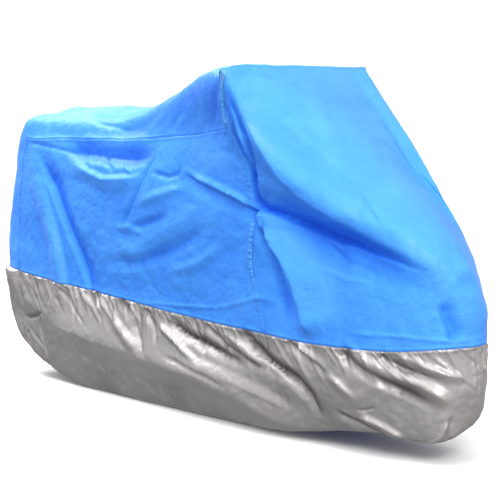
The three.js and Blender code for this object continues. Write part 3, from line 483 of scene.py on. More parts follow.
# %% The fine creases
CREASES = [
    ("packing line on the side", "side", 4, 10, 12, 0.7, 0.2, 0, [
        (4.22, 3.05), (5.35, 3.25), (6, 3.5)]),
    ("packing line by the flank", "front", 3, 10, 12, 0.7, 0, 0.3, [(6, 3.5), (6.3, 3.52)]),
    ("packing line on the front", "front", 5, 12, 14, 0.7, 0.2, 0.2, [
        (7.8, 3.25), (9.28, 3.31), (10.98, 3.16)]),
    ("arch patch", "front", -17, 46, 32, 0.3, 0.3, 0.2, [
        (9.98, 4.36), (10.15, 4.0), (10.3, 3.5), (10.36, 3.12)]),
    ("ray under the knot", "front", 4, 12, 12, 0.7, 0.1, 0.4, [
        (6.2, 4.85), (6.7, 4.7), (7.3, 4.62)]),
    ("ray beside the trough", "front", -4, 12, 14, 0.7, 0.1, 0.4, [
        (6.3, 4.95), (7, 4.85), (8, 4.9), (8.8, 5.1)]),
    ("brow line", "front", 4, 14, 12, 0.6, 0.3, 0.3, [
        (6.6, 5.3), (7.4, 5.25), (8.2, 5.4), (9, 5.7)]),
    ("pull over the brow", "front", -4, 30, 30, 0.3, 0.3, 0.4, [(7.6, 7.6), (8.8, 7), (9.8, 6.5)]),
    ("second pull over the brow", "front", 5, 34, 34, 0.3, 0.3, 0.4, [
        (8.6, 7.7), (9.6, 7.2), (10.6, 6.6)]),
    ("soft line under the ridge", "front", -5, 22, 22, 0.3, 0.3, 0.3, [
        (7.6, 7.86), (9, 7.9), (10.4, 7.88)]),
    ("tail ray two", "side", -5, 16, 16, 0.6, 0.1, 0.4, [(2.1, 6.9), (2.9, 6.5), (3.6, 6.1)]),
    ("jagged rim one", "side", 5, 10, 20, 0.7, 0.2, 0.2, [(3.3, 6.35), (3.45, 6.05), (3.5, 5.75)]),
    ("jagged rim two", "side", -6, 12, 18, 0.7, 0.2, 0.2, [(3.62, 6.3), (3.7, 6.0), (3.85, 5.8)]),
    ("jagged rim three", "side", 6, 14, 12, 0.7, 0.2, 0.2, [(3.95, 6.2), (4.0, 5.9), (4.15, 5.7)]),
    ("side fold one", "side", 7, 20, 26, 0.4, 0.3, 0.3, [(3.83, 4.37), (4.1, 4.42), (4.38, 4.33)]),
    ("side light", "side", 9, 30, 28, 0.4, 0.3, 0.3, [(4.22, 4.82), (4.62, 5.03), (5.08, 5.4)]),
    ("side shade", "side", -9, 26, 26, 0.4, 0.3, 0.3, [(4.05, 4.35), (4.46, 4.55), (4.78, 4.7)]),
    ("side dark", "side", -10, 36, 40, 0.3, 0.3, 0.3, [
        (3.63, 3.66), (4.26, 3.81), (4.9, 4.22), (5.42, 4.61)]),
    ("side fold three", "side", 7, 30, 30, 0.3, 0.3, 0.3, [(4.6, 3.7), (5.1, 3.9), (5.6, 4.3)]),
    ("seat top wave", "centre", 5, 40, 40, 0.2, 0.3, 0.3, [(4.4, 0.9), (5, 0.6), (5.6, 0.9)]),
    ("seat top wave two", "centre", -5, 30, 30, 0.2, 0.3, 0.3, [
        (4.8, 1.4), (5.6, 1.2), (6.4, 1.3)]),
    ("ray from the bar end", "centre", -10, 14, 22, 0.5, 0.1, 0.2, [
        (8.35, 0.62), (8.04, 0.42), (7.62, 0.1)]),
    ("rise beside that ray", "centre", 8, 22, 22, 0.3, 0.2, 0.2, [
        (8.1, 0.78), (7.56, 0.48), (7.22, 0.08)]),
    ("second ray", "centre", -8, 26, 30, 0.3, 0.2, 0.2, [(8.1, 0.9), (7.12, 0.72), (6.52, 0.14)]),
    ("rise beside the second", "centre", 8, 34, 34, 0.2, 0.3, 0.3, [
        (7.8, 1.0), (6.77, 0.85), (6.1, 0.3)]),
    ("seat crease on top", "centre", -4, 14, 16, 0.4, 0.3, 0.3, [
        (5.2, 0.98), (5.6, 0.64), (6.03, 0.45)]),
    ("second line by the dart", "front", -19, 20, 44, 0.3, 0.2, 0.1, [
        (6.98, 7.79), (7.36, 7.4), (7.42, 7.1), (7.28, 6.72), (6.9, 6.04), (6.52, 5.55)]),
    ("small dark line in front", "front", -6, 12, 14, 0.5, 0.3, 0.2, [
        (9.84, 6.79), (9.55, 6.48), (9.46, 6.2)]),
    ("long front fold", "front", 6, 55, 60, 0.2, 0.3, 0.3, [
        (10.77, 7.85), (10.37, 7.4), (9.71, 6.8)]),
    ("facet crease", "front", -4, 16, 16, 0.5, 0.3, 0.3, [(7.9, 4.85), (8.6, 4.55), (9.3, 4.6)]),
    ("facet crease two", "front", 4, 14, 18, 0.5, 0.3, 0.3, [(7.6, 4.3), (8.3, 4.2), (9.2, 4.3)]),
    ("silver fold a", "skirt", -9, 14, 16, 0.6, 0.05, 0.4, [
        (2.99, 2.9), (3.25, 2.49), (3.55, 2.13)]),
    ("silver fold b", "skirt", -11, 14, 18, 0.6, 0.05, 0.4, [
        (3.49, 2.97), (3.71, 2.64), (3.93, 2.3)]),
    ("silver rise b", "skirt", 8, 16, 16, 0.5, 0.05, 0.4, [(3.3, 2.95), (3.55, 2.6), (3.8, 2.2)]),
    ("silver fold c", "skirt", -9, 12, 18, 0.7, 0.05, 0.3, [
        (3.94, 2.97), (4.14, 2.67), (4.3, 2.17), (4.4, 2.04)]),
    ("silver fold d", "skirt", -13, 14, 18, 0.6, 0.05, 0.4, [
        (4.3, 2.94), (4.42, 2.7), (4.56, 2.25)]),
    ("silver rise h", "skirt", 15, 16, 24, 0.6, 0.2, 0.3, [(4.5, 2.75), (4.87, 2.41), (5.2, 2.15)]),
    ("silver fold e", "skirt", -8, 12, 14, 0.7, 0.2, 0.3, [
        (4.61, 2.81), (4.92, 2.63), (5.21, 2.54), (5.48, 2.45)]),
    ("silver fold f", "skirt", -8, 14, 18, 0.6, 0.2, 0.3, [
        (4.59, 2.1), (4.87, 2.06), (5.36, 1.95), (5.62, 1.84)]),
    ("silver fold i", "skirt", -12, 14, 20, 0.6, 0.05, 0.3, [
        (5.18, 2.93), (5.45, 2.66), (5.81, 2.44), (6.15, 2.36)]),
    ("silver rise j", "skirt", 10, 14, 22, 0.6, 0.1, 0.3, [
        (5.42, 2.9), (5.85, 2.55), (6.35, 2.38), (6.8, 2.15)]),
    ("silver fold k", "skirt", -16, 20, 26, 0.6, 0.05, 0.3, [
        (6.48, 2.97), (6.9, 2.8), (7.3, 2.62), (7.72, 2.45)]),
    ("silver rise l", "skirt", 16, 20, 30, 0.6, 0.1, 0.3, [
        (6.75, 2.97), (7.2, 2.7), (7.7, 2.4), (8.2, 2.05)]),
    ("silver fold m", "skirt", -15, 20, 30, 0.6, 0.2, 0.3, [
        (7.47, 1.89), (8.04, 1.53), (9.09, 0.81)]),
    ("silver rise n", "skirt", 16, 24, 30, 0.6, 0.2, 0.3, [(8.0, 1.75), (8.6, 1.4), (9.3, 1.0)]),
    ("silver fold o", "skirt", -13, 20, 26, 0.6, 0.05, 0.3, [
        (8.7, 2.95), (9.1, 2.7), (9.6, 2.5), (10.1, 2.35)]),
    ("silver rise p", "skirt", 14, 20, 28, 0.6, 0.1, 0.3, [
        (9.1, 2.95), (9.6, 2.68), (10.1, 2.5), (10.6, 2.4)]),
    ("crease under the star", "skirt", -6, 10, 12, 0.7, 0.2, 0.2, [
        (8.0, 1.95), (8.23, 1.89), (8.5, 1.9)]),
    ("hem tuck", "skirt", -8, 12, 16, 0.6, 0.2, 0.2, [(9.2, 0.35), (9.5, 0.45), (9.83, 0.66)]),
    ("tail facet", "skirt", 8, 26, 36, 0.3, 0.5, 0.5, [(2.02, 2.9), (2.2, 2.45), (2.45, 2.2)]),
    ("tail facet line", "skirt", -13, 12, 14, 0.6, 0.1, 0.1, [
        (2.3, 2.95), (2.39, 2.64), (2.52, 2.35), (2.58, 2.15)]),
    ("under edge", "skirt", 18, 95, 95, 0.5, 0.1, 0.15, [
        (2.67, 2.04), (3.5, 1.98), (4.27, 1.92), (5.14, 1.87), (5.67, 1.73), (6.31, 1.45),
        (6.76, 1.29), (7.5, 1.05)]),
    ("rim over the under edge", "skirt", 12, 38, 70, 0.2, 0.4, 0.3, [
        (4.2, 2.0), (4.72, 1.94), (5.14, 1.92), (5.67, 1.78), (6.31, 1.52), (6.76, 1.34)]),
    ("tail tuck", "skirt", -12, 10, 16, 0.8, 0.1, 0.2, [
        (2.58, 2.18), (2.4, 2.03), (2.2, 1.95), (2.04, 1.88)]),
    ("tail tuck two", "skirt", -9, 10, 12, 0.7, 0.1, 0.3, [
        (2.56, 2.1), (2.52, 1.85), (2.56, 1.6), (2.6, 1.4)]),
    ("tail tuck three", "skirt", -8, 10, 12, 0.7, 0.2, 0.2, [
        (2.16, 1.8), (2.31, 1.68), (2.55, 1.58)]),
    ("nose streak one", "skirt", 5, 8, 12, 0.7, 0.1, 0.3, [
        (10.75, 2.93), (10.8, 2.4), (10.78, 1.9)]),
    ("nose streak two", "skirt", -5, 10, 8, 0.7, 0.1, 0.3, [
        (11.1, 2.93), (11.1, 2.3), (11.05, 1.8)]),
    ("star fold one", "skirt", 7, 12, 14, 0.7, 0.2, 0.2, [(9.6, 0.9), (9.9, 1.25), (10.1, 1.6)]),
    ("star fold two", "skirt", -6, 12, 12, 0.7, 0.2, 0.2, [
        (10.3, 0.9), (10.15, 1.25), (10.2, 1.7)]),
    ("left packing line", "side", 3, 10, 12, 0.7, 0.2, 0.2, [
        (17.8, 3.1), (16.8, 3.3), (16.1, 3.4)]),
    ("left silver crease one", "skirt", 7, 16, 12, 0.7, 0.1, 0.4, [
        (18.2, 2.93), (17.6, 2.6), (17, 2.3)]),
    ("left silver crease two", "skirt", -6, 12, 14, 0.7, 0.1, 0.4, [
        (16.3, 2.93), (15.6, 2.6), (14.9, 2.2)]),
    ("left silver crease three", "skirt", 6, 14, 12, 0.7, 0.1, 0.4, [
        (14.2, 2.93), (13.5, 2.6), (12.8, 2.3)]),
]
PATH_STEPS = 6
print("large folds:", len(FOLDS), "fine creases:", len(CREASES))

# %% Trace a fold and read its height
READERS = {"side": ring_at, "skirt": ring_at, "front": front_at, "centre": centre_at}
SIDES_MEET = 4


def trace(fold):
    """A fold's path in space: its points, its segments and how far along each begins."""
    where, rise, left, right, sharp, fade_in, fade_out, path = fold[1:]
    places = []
    for start, stop in zip(path[:-1], path[1:]):
        for step in range(PATH_STEPS):
            part = step / PATH_STEPS
            places.append([start[axis] + (stop[axis] - start[axis]) * part for axis in (0, 1)])
    places = np.array(places + [list(path[-1])])
    points = READERS[where](places[:, 0], places[:, 1])
    steps = np.diff(points, axis=0)
    lengths = np.linalg.norm(steps, axis=1)
    keep = lengths > 1e-6
    along = np.concatenate([[0], np.cumsum(lengths)])
    return {
        "start": points[:-1][keep], "step": steps[keep], "along": along[:-1][keep],
        "total": along[-1], "rise": rise, "left": left, "right": right, "sharp": sharp,
        "fade": (fade_in, fade_out), "low": points.min(0), "high": points.max(0)}


def fold_height(fold, points):
    """How far one fold moves each point, in millimetres."""
    reach = max(fold["left"], fold["right"])
    near = np.all((points > fold["low"] - reach) & (points < fold["high"] + reach), axis=1)
    height = np.zeros(len(points))
    chosen = points[near]
    if not len(chosen):
        return height
    best = np.full(len(chosen), np.inf)
    side = np.zeros(len(chosen))
    place = np.zeros(len(chosen))
    for start, step, along in zip(fold["start"], fold["step"], fold["along"]):
        size = np.linalg.norm(step)
        part = np.clip((chosen - start) @ step / size ** 2, 0, 1)
        foot = start + part[:, None] * step
        gap = np.linalg.norm(chosen - foot, axis=1)
        closer = gap < best
        best = np.where(closer, gap, best)
        across = np.cross(step / size, outward(foot))
        side = np.where(closer, ((chosen - foot) * across).sum(1), side)
        place = np.where(closer, along + part * size, place)
    meeting = smoothstep(-SIDES_MEET, SIDES_MEET, side)
    width = fold["left"] + (fold["right"] - fold["left"]) * meeting
    q = np.minimum(best / width, 1)
    profile = (1 - q * q) ** 2
    profile = profile + ((1 - q) ** 2 - profile) * fold["sharp"]
    t = place / fold["total"]
    if fold["fade"][0] > 0:
        profile = profile * smoothstep(0, fold["fade"][0], t)
    if fold["fade"][1] > 0:
        profile = profile * smoothstep(0, fold["fade"][1], 1 - t)
    height[near] = fold["rise"] * profile
    return height


TRACED = [trace(fold) for fold in FOLDS + CREASES]

SLACK_HEIGHT = 1.2


def slack(points):
    """The broad, shallow unevenness of cloth between its folds, as three slow waves."""
    x, y, z = points[:, 0], points[:, 1], points[:, 2]
    wave = np.sin(x / 97 + z / 61 + y / 83) + np.sin(x / 53 - z / 89 + 1.3)
    return SLACK_HEIGHT * (wave + np.sin(z / 43 + x / 149 + y / 59 + 0.7))


def crumple(points, size, seed):
    """Creased noise over the cloth: the handling marks of thin coated cloth."""
    shift = Vector((seed * 17.3, seed * 5.1, seed * 9.7))
    values = [noise.noise(Vector(point) / size + shift) for point in points]
    return np.abs(np.array(values)) * 2 - 0.5


# %% [markdown]
# ## Panels
#
# A panel is a fine grid of points on the folded form, with its rows and columns laid closer
# together beside a seam, where the cloth puckers. Each point also keeps how far it lies from
# the panel's seams, because a seam holds the cloth down and everything beside it follows.

# %% Lay out a panel's rows and columns
EDGE_ROWS = np.array([1.2, 3.0, 5.5, 9.0])
FIRST_PITCH = 0.6
SAMPLES = 400
SIDE_PITCH, FAR_SIDE_PITCH, FRONT_PITCH, CENTRE_PITCH = 4.5, 8.0, 6.35, 6.3
SKIRT_PITCH, FAR_SKIRT_PITCH, SKIRT_ROW_PITCH = 3.9, 6.6, 5.8


def places_along(read, start, stop, pitch, held=(True, True)):
    """Net places from start to stop at an even pitch, closer together at a seam."""
    fine = np.linspace(start, stop, SAMPLES)
    along = np.concatenate([[0], np.cumsum(np.linalg.norm(np.diff(read(fine), axis=0), axis=1))])
    total = along[-1]
    border = EDGE_ROWS[-1] + pitch * FIRST_PITCH
    first = border if held[0] else 0
    last = total - border if held[1] else total
    inner = np.linspace(first, last, max(2, int(round((last - first) / pitch)) + 1))
    parts = [inner, [0.0, total]]
    parts += [EDGE_ROWS] if held[0] else []
    parts += [total - EDGE_ROWS] if held[1] else []
    distances = np.unique(np.concatenate(parts).round(4))
    return np.interp(distances, along, fine)


UPPER_ROWS = places_along(lambda t: ring_at(4.0, t), JOINT, SHOULDER, SIDE_PITCH)
SIDE_COLUMNS = places_along(lambda t: ring_at(t, 5.0), SEAM_RIB, DART_RIB, SIDE_PITCH)
FRONT_COLUMNS = places_along(lambda t: ring_at(t, 5.0), DART_RIB, FAR_DART_RIB, FRONT_PITCH)
FRONT_ROWS = places_along(lambda t: front_at(8.5, t), JOINT, TOP, FRONT_PITCH)
TRACK_ROWS = np.concatenate([
    places_along(lambda t: centre_at(t, 2.0), 0, TRACK_DART, CENTRE_PITCH, (True, False))[:-1],
    places_along(lambda t: centre_at(t, 0.0), TRACK_DART, TRACK_END, SIDE_PITCH, (False, True))])
SECTION_COLUMNS = places_along(lambda t: centre_at(6.0, t), 0, 4, CENTRE_PITCH)
SKIRT_ROWS = places_along(lambda t: ring_at(5.0, t), HEM, JOINT, SKIRT_ROW_PITCH)
NEAR_COLUMNS = places_along(lambda t: ring_at(t, 2.8), SEAM_RIB, NOSE_RIB, SKIRT_PITCH)
FAR_COLUMNS = places_along(lambda t: ring_at(t, 2.8), NOSE_RIB, FAR_SEAM_RIB, FAR_SKIRT_PITCH)
FAR_SIDE_COLUMNS = places_along(lambda t: ring_at(t, 5.0), SEAM_RIB, DART_RIB, FAR_SIDE_PITCH)
TAIL_COLUMNS = places_along(
    lambda t: ring_at(t, 2.8), FAR_SEAM_RIB, FAR_SEAM_RIB + 4, SKIRT_PITCH)
print("rows up the side:", len(UPPER_ROWS), "columns along it:", len(SIDE_COLUMNS))

# %% The seven panels on the net


def grid(read, rows, columns):
    """Points of a panel, rows going up and columns going to the front on the right side."""
    return read(columns[None, :].repeat(len(rows), 0), rows[:, None].repeat(len(columns), 1))


BARE = {
    "side_panel_right": grid(ring_at, UPPER_ROWS, SIDE_COLUMNS),
    "side_panel_left": grid(ring_at, UPPER_ROWS, (RIB_COUNT - FAR_SIDE_COLUMNS)[::-1]),
    "front_panel": grid(front_at, FRONT_ROWS, FRONT_COLUMNS),
    "centre_panel": grid(
        lambda section, track: centre_at(track, section), TRACK_ROWS, SECTION_COLUMNS[::-1]),
    "skirt_right": grid(ring_at, SKIRT_ROWS, NEAR_COLUMNS),
    "skirt_left": grid(ring_at, SKIRT_ROWS, FAR_COLUMNS),
    "skirt_rear": grid(ring_at, SKIRT_ROWS, TAIL_COLUMNS),
}
SKIRTS = ("skirt_right", "skirt_left", "skirt_rear")
print({node: points.shape[:2] for node, points in BARE.items()})

# %% Distances over a panel


def cloth_distances(points):
    """How far each point lies from the bottom, the top and the first and last side edge."""
    rows, columns = points.shape[:2]
    across = np.linalg.norm(np.diff(points, axis=1), axis=-1)
    up = np.linalg.norm(np.diff(points, axis=0), axis=-1)
    first = np.concatenate([np.zeros((rows, 1)), np.cumsum(across, axis=1)], axis=1)
    bottom = np.concatenate([np.zeros((1, columns)), np.cumsum(up, axis=0)], axis=0)
    last, top = first[:, -1:] - first, bottom[-1:] - bottom
    return {"bottom": bottom, "top": top, "first": first, "last": last,
            "side": np.minimum(first, last)}


DISTANCES = {node: cloth_distances(points) for node, points in BARE.items()}


def end_distance(node):
    """How far each point lies from the seam above or below it; the elastic hem isn't one."""
    away = DISTANCES[node]
    return away["top"] if node in SKIRTS else np.minimum(away["bottom"], away["top"])


def seam_distance(node):
    """How far each point lies from the nearest seam."""
    return np.minimum(end_distance(node), DISTANCES[node]["side"])


# %% [markdown]
# A seam is sewn through folded layers, so it lies in a narrow ditch with a firm low ridge
# beside it. Two of the seams show more: the cloth is bunched along the seam that runs down
# from the bar end, and the silver is gathered on to the blue all the way around.

# %% Seam ditch and ridge
DITCH, DITCH_WIDTH = -1.2, 2.2
RIDGE, RIDGE_PLACE, RIDGE_WIDTH = 1.5, 6.5, 3.2


def seam_relief(distance):
    """The height of the cloth beside a seam, in millimetres."""
    ditch = DITCH * np.exp(-(distance / DITCH_WIDTH) ** 2)
    return ditch + RIDGE * np.exp(-((distance - RIDGE_PLACE) / RIDGE_WIDTH) ** 2)


# %% The seam that runs down from the bar end
DART_PANELS = ("front_panel", "side_panel_right", "side_panel_left")
STRIP_STARTS = (3.6, 3.9)
FRONT_STARTS = (SHOULDER, SHOULDER + 0.15)


def beside_dart(node, share, ends, top_fade):
    """How strong a strip beside that seam is at each level, and how far away each point is.

    The strip ends between two levels on the side panels, where it has only a share of its
    strength, and fades out below the ridge on the front panel.
    """
    away = DISTANCES[node]
    if node == "front_panel":
        rows = FRONT_ROWS[:, None]
        return smoothstep(*FRONT_STARTS, rows) * smoothstep(0, top_fade, TOP - rows), away["side"]
    rows = UPPER_ROWS[:, None]
    reach = share * smoothstep(*STRIP_STARTS, rows) * (1 - smoothstep(*ends, rows))
    return reach, away["last" if node == "side_panel_right" else "first"]


# %% The strip that is sewn down along it
DART_STRIP = {"height": 7.0, "place": 10.5, "width": 7.5, "share": 0.5, "ends": (4.6, 4.85),
              "top fade": 0.15}


def dart_strip(node):
    """The raised strip beside the seam from the bar end to the knot, in millimetres."""
    if node not in DART_PANELS:
        return np.zeros(BARE[node].shape[:2])
    reach, near = beside_dart(node, DART_STRIP["share"], DART_STRIP["ends"], DART_STRIP["top fade"])
    hill = np.exp(-((near - DART_STRIP["place"]) / DART_STRIP["width"]) ** 2)
    return DART_STRIP["height"] * reach * hill


# %% Where the cloth is bunched along it
BUNCHED = {"share": 0.6, "ends": (4.6, 4.9), "top fade": 0.1, "upper share": 0.3,
           "upper starts": (4.9, 5.2), "front fades": (24, 32), "side fades": (13, 21)}
STITCHED_FLAT = 3


def bunching(node):
    """1 on the strip beside that seam, 0 away from it."""
    if node not in DART_PANELS:
        return np.zeros(BARE[node].shape[:2])
    reach, near = beside_dart(node, BUNCHED["share"], BUNCHED["ends"], BUNCHED["top fade"])
    fades = BUNCHED["front fades"]
    if node != "front_panel":
        fades = BUNCHED["side fades"]
        rows = UPPER_ROWS[:, None]
        reach = reach + BUNCHED["upper share"] * smoothstep(*BUNCHED["upper starts"], rows)
    return reach * (1 - smoothstep(*fades, near)) * smoothstep(0, STITCHED_FLAT, near)


# %% Small ridges square to that seam
BUNCH = {"height": 2.6, "wave": 17.0, "wander": 1.7, "wander length": 31.0,
         "second height": 0.6, "second wave": 1.63, "second start": 0.8}


def bunched_ridges(node):
    """Uneven ridges across the bunched strip, in millimetres."""
    along = DISTANCES[node]["bottom"]
    wander = BUNCH["wander"] * np.sin(along / BUNCH["wander length"])
    wave = np.sin(along * 2 * math.pi / BUNCH["wave"] + wander)
    second = along * 2 * math.pi / (BUNCH["wave"] * BUNCH["second wave"]) + BUNCH["second start"]
    wave = wave + BUNCH["second height"] * np.sin(second)
    return BUNCH["height"] * wave * bunching(node)


# %% [markdown]
# Gathering pushes more silver cloth on to the seam than the seam is long, so it stands out in
# small pleats of every size. Each one starts flat under the stitches, opens as it goes down
# and dies out, and nearly all of them lean towards the front, where the cloth is pulled. The
# pleats are drawn from a seeded list, since no two are alike, but their lean, size and
# spacing keep to the ranges that the real gathers show.

# %% Pleats below the joint
GATHERS = {
    "small": {"spacing": (10, 21), "length": (30, 75), "half": (5, 8.5), "height": (3.5, 7.0)},
    "long": {"spacing": (30, 62), "length": (80, 180), "half": (10, 16), "height": (7, 12)},
}
# one pleat in four is turned in, with a little less height
PLEAT_TURNS = [1, 1, 1, -0.8]
LEAN, BEND = (0.25, 1.05), (-0.0012, 0.0030)
LAST_PLEAT = 8
TOWARDS_FRONT = {"skirt_right": 1.0, "skirt_left": -1.0, "skirt_rear": 0.15}
PLEAT_SEEDS = {"skirt_right": 11, "skirt_left": 12, "skirt_rear": 13}
# a pleat's width at the seam and how much it opens, its two slopes, and where it fades
OPENS, SLOPES, ROUND, FADES = (0.75, 0.9), (0.7, 1.5), 1.5, 0.3
JOINT_HELD, ENDS_HELD = 6.0, 14
# the pleats are lower in front, between two places along the cover in metres
CALM_PLACES, CALM_SHARE = (-0.1, 0.5), 0.5


def pleat_list(total, size, rng):
    """One row for each pleat: its place, length, half width, height, lean and bend."""
    rows, place = [], 0.0
    while True:
        place += rng.uniform(*size["spacing"])
        if place > total - LAST_PLEAT:
            return rows
        rows.append((
            place, rng.uniform(*size["length"]), rng.uniform(*size["half"]),
            rng.uniform(*size["height"]) * rng.choice(PLEAT_TURNS),
            rng.uniform(*LEAN), rng.uniform(*BEND)))


def gathers(node):
    """The height of the pleats over a skirt panel, in millimetres."""
    top, first = DISTANCES[node]["top"], DISTANCES[node]["first"]
    place = np.broadcast_to(first[-1:], first.shape)
    towards = TOWARDS_FRONT[node]
    rng = np.random.default_rng(PLEAT_SEEDS[node])
    height = np.zeros(first.shape)
    for size in GATHERS.values():
        for start, reach, half, rise, lean, bend in pleat_list(place.max(), size, rng):
            middle = start + towards * (lean * top + bend * top * top)
            width = half * (OPENS[0] + OPENS[1] * top / reach)
            across = (place - middle) * towards / width
            q = np.clip(np.where(across > 0, across * SLOPES[0], -across * SLOPES[1]), 0, 1)
            fold = (1 - q) ** ROUND
            length = smoothstep(0, JOINT_HELD, top) * (1 - smoothstep(FADES, 1.0, top / reach))
            height += rise * fold * length
    calm = 1 - CALM_SHARE * smoothstep(*CALM_PLACES, BARE[node][..., 0] * MILLIMETRE)
    return height * calm * smoothstep(0, ENDS_HELD, DISTANCES[node]["side"])


# %% Ruffles that the elastic draws at the hem
HEM_RUFFLE = {"height": 4.5, "reach": 55.0, "wave": 27.0}
# height, length and start of the two slow waves that make the ruffles uneven
HEM_WANDER = ((9.0, 83.0, 0.0), (6.0, 37.0, 1.1))


def hem_ruffles(node):
    """Small waves over the last few centimetres above the elastic, in millimetres."""
    bottom, first = DISTANCES[node]["bottom"], DISTANCES[node]["first"]
    place = np.broadcast_to(first[:1], first.shape)
    wander = sum(height * np.sin(place / length + start) for height, length, start in HEM_WANDER)
    wave = np.sin((place + wander) * 2 * math.pi / HEM_RUFFLE["wave"])
    ends = smoothstep(0, ENDS_HELD, DISTANCES[node]["side"])
    return HEM_RUFFLE["height"] * wave * np.exp(-bottom / HEM_RUFFLE["reach"] * 2) * ends


# %% Fold, seam and gather each panel
# size, height and seed of the crumpling
BLUE_FINE = [(95.0, 2.2, 1), (38.0, 1.2, 2)]
SILVER_FINE = [(80.0, 2.4, 3), (34.0, 1.5, 4)]


def shaped(node):
    """The outer face of a panel with everything that moves its cloth."""
    points = BARE[node]
    flat = points.reshape(-1, 3)
    fine = SILVER_FINE if node in SKIRTS else BLUE_FINE
    rise = slack(flat)
    for fold in TRACED:
        rise = rise + fold_height(fold, flat)
    for size, height, seed in fine:
        rise = rise + height * crumple(flat, size, seed)
    rise = rise.reshape(points.shape[:2])
    rise = rise + seam_relief(seam_distance(node)) + dart_strip(node) + bunched_ridges(node)
    if node in SKIRTS:
        rise = rise + gathers(node) + hem_ruffles(node)
    return points + outward(points) * rise[..., None]


SHAPED = {node: shaped(node) for node in BARE}
print("cloth moved:", {node: round(float(np.abs(SHAPED[node] - BARE[node]).max()), 1)
                      for node in BARE})

# %% [markdown]
# Light and shade are painted into the cloth's colour: it is painted paler where it faces the key
# lamp, with a painted sheen where it faces up, and painted deeper in the folds as painted shade.
# Each point therefore keeps how much painted light it gets, from the way it faces and how far
# its fold stands out. A noise alone would put the pale patches anywhere.

# %% Painted light and shade in the cloth's colour
# painted light: the way towards the key lamp, the painted lit side's share, the painted sheen on
# up-facing cloth, and the painted shade of sunk folds
PAINTED_LIGHT_WAY = np.array([0.80, -0.54, 0.26])
LEAST_PAINTED_LIGHT, PAINTED_LIT_SHARE, PAINTED_SHEEN_SHARE = 0.25, 0.52, 0.6
TOP_FACING, CENTRE_TOP_FACING, TOP_FULL = 0.84, 0.58, 0.99
FOLD_HEIGHT, FOLD_RANGE = 60, (-0.45, 0.1)
# how much painted highlight the bunched strip beside the dart seam gets, on the sides and on the
# front
STRIP_HIGHLIGHT_SHARE, FRONT_STRIP_HIGHLIGHT_SHARE = 0.3, 0.5


def painted_light_share(node):
    """How much painted light each point of a panel gets, from 0 for painted shade to 1."""
    points = SHAPED[node]
    way = np.cross(np.gradient(points, axis=1), np.gradient(points, axis=0))
    way = way / np.maximum(np.linalg.norm(way, axis=-1, keepdims=True), 1e-9)
    raised = ((points - BARE[node]) * outward(points)).sum(-1)
    level = CENTRE_TOP_FACING if node == "centre_panel" else TOP_FACING
    # painted light on the side that faces the key lamp, and a painted sheen on cloth that faces up
    painted_lit = PAINTED_LIT_SHARE * np.clip(way @ PAINTED_LIGHT_WAY, 0, 1) ** 2
    painted_lit = painted_lit + PAINTED_SHEEN_SHARE * smoothstep(level, TOP_FULL, way[..., 2])
    # a painted highlight along the bunched strip
    strip = (FRONT_STRIP_HIGHLIGHT_SHARE if node == "front_panel" else STRIP_HIGHLIGHT_SHARE) * bunching(node)
    # sunk folds get painted shade, and raised ones a little painted light
    return np.clip(LEAST_PAINTED_LIGHT + painted_lit + np.clip(raised / FOLD_HEIGHT, *FOLD_RANGE) + strip, 0, 1)


# %% [markdown]
# The grid becomes a mesh with two maps. "cloth" holds the distances along the warp and weft in
# metres, so that a weave keeps its size wherever the cloth turns. "seam" holds the distance
# along the nearest seam and away from it, and the puckers of the finish read that one.

# %% Make a panel's mesh
SEAM_GAP = 0.04
CLOTH = 1.5


def drawn_back(points):
    """The grid with its edge points moved in by the seam gap, so that panels don't touch."""
    moved = points.copy()
    for edge, inner in (((0, slice(None)), (1, slice(None))),
                        ((-1, slice(None)), (-2, slice(None))),
                        ((slice(None), 0), (slice(None), 1)),
                        ((slice(None), -1), (slice(None), -2))):
        way = points[inner] - points[edge]
        way = way / np.maximum(np.linalg.norm(way, axis=-1, keepdims=True), 1e-9)
        moved[edge] = moved[edge] + way * SEAM_GAP
    return moved


def seam_map(node):
    """Distance along the nearest seam and away from it."""
    away, ends = DISTANCES[node], end_distance(node)
    along = np.where(ends < away["side"], away["first"], away["bottom"])
    return along, np.minimum(ends, away["side"])


def panel_object(node):
    """A panel as a single face of cloth with its two maps."""
    points = SHAPED[node]
    rows, columns = points.shape[:2]
    index = np.arange(rows * columns).reshape(rows, columns)
    faces = np.stack([
        index[:-1, :-1], index[:-1, 1:], index[1:, 1:], index[1:, :-1]], axis=-1).reshape(-1, 4)
    name = node.replace("panel", "cloth").replace("skirt", "silver")
    mesh = bpy.data.meshes.new(name)
    mesh.from_pydata((drawn_back(points).reshape(-1, 3) * MILLIMETRE).tolist(), [], faces.tolist())
    loops = np.zeros(len(mesh.loops), int)
    mesh.loops.foreach_get("vertex_index", loops)
    away = DISTANCES[node]
    for title, (u, v) in {
            "cloth": (away["first"], away["bottom"]), "seam": seam_map(node)}.items():
        layer = mesh.uv_layers.new(name=title)
        flat = np.stack([u.ravel(), v.ravel()], axis=1)[loops] * MILLIMETRE
        layer.data.foreach_set("uv", flat.astype(np.float32).ravel())
    # the painted light and shade for the colour, and where the cloth is bunched
    for title, values in {"faded": painted_light_share(node), "bunched": bunching(node)}.items():
        layer = mesh.attributes.new(name=title, type="FLOAT", domain="POINT")
        layer.data.foreach_set("value", values.astype(np.float32).ravel())
    mesh.polygons.foreach_set("use_smooth", np.ones(len(mesh.polygons), bool))
    mesh.update()
    piece = bpy.data.objects.new(name, mesh)
    bpy.context.scene.collection.objects.link(piece)
    return piece


def plain_mesh(piece):
    """Applies a piece's modifiers and leaves one plain mesh."""
    evaluated = piece.evaluated_get(bpy.context.evaluated_depsgraph_get())
    result = bpy.data.meshes.new_from_object(evaluated)
    piece.modifiers.clear()
    old, name = piece.data, piece.name
    piece.data = result
    bpy.data.meshes.remove(old)
    result.name = name
    return piece


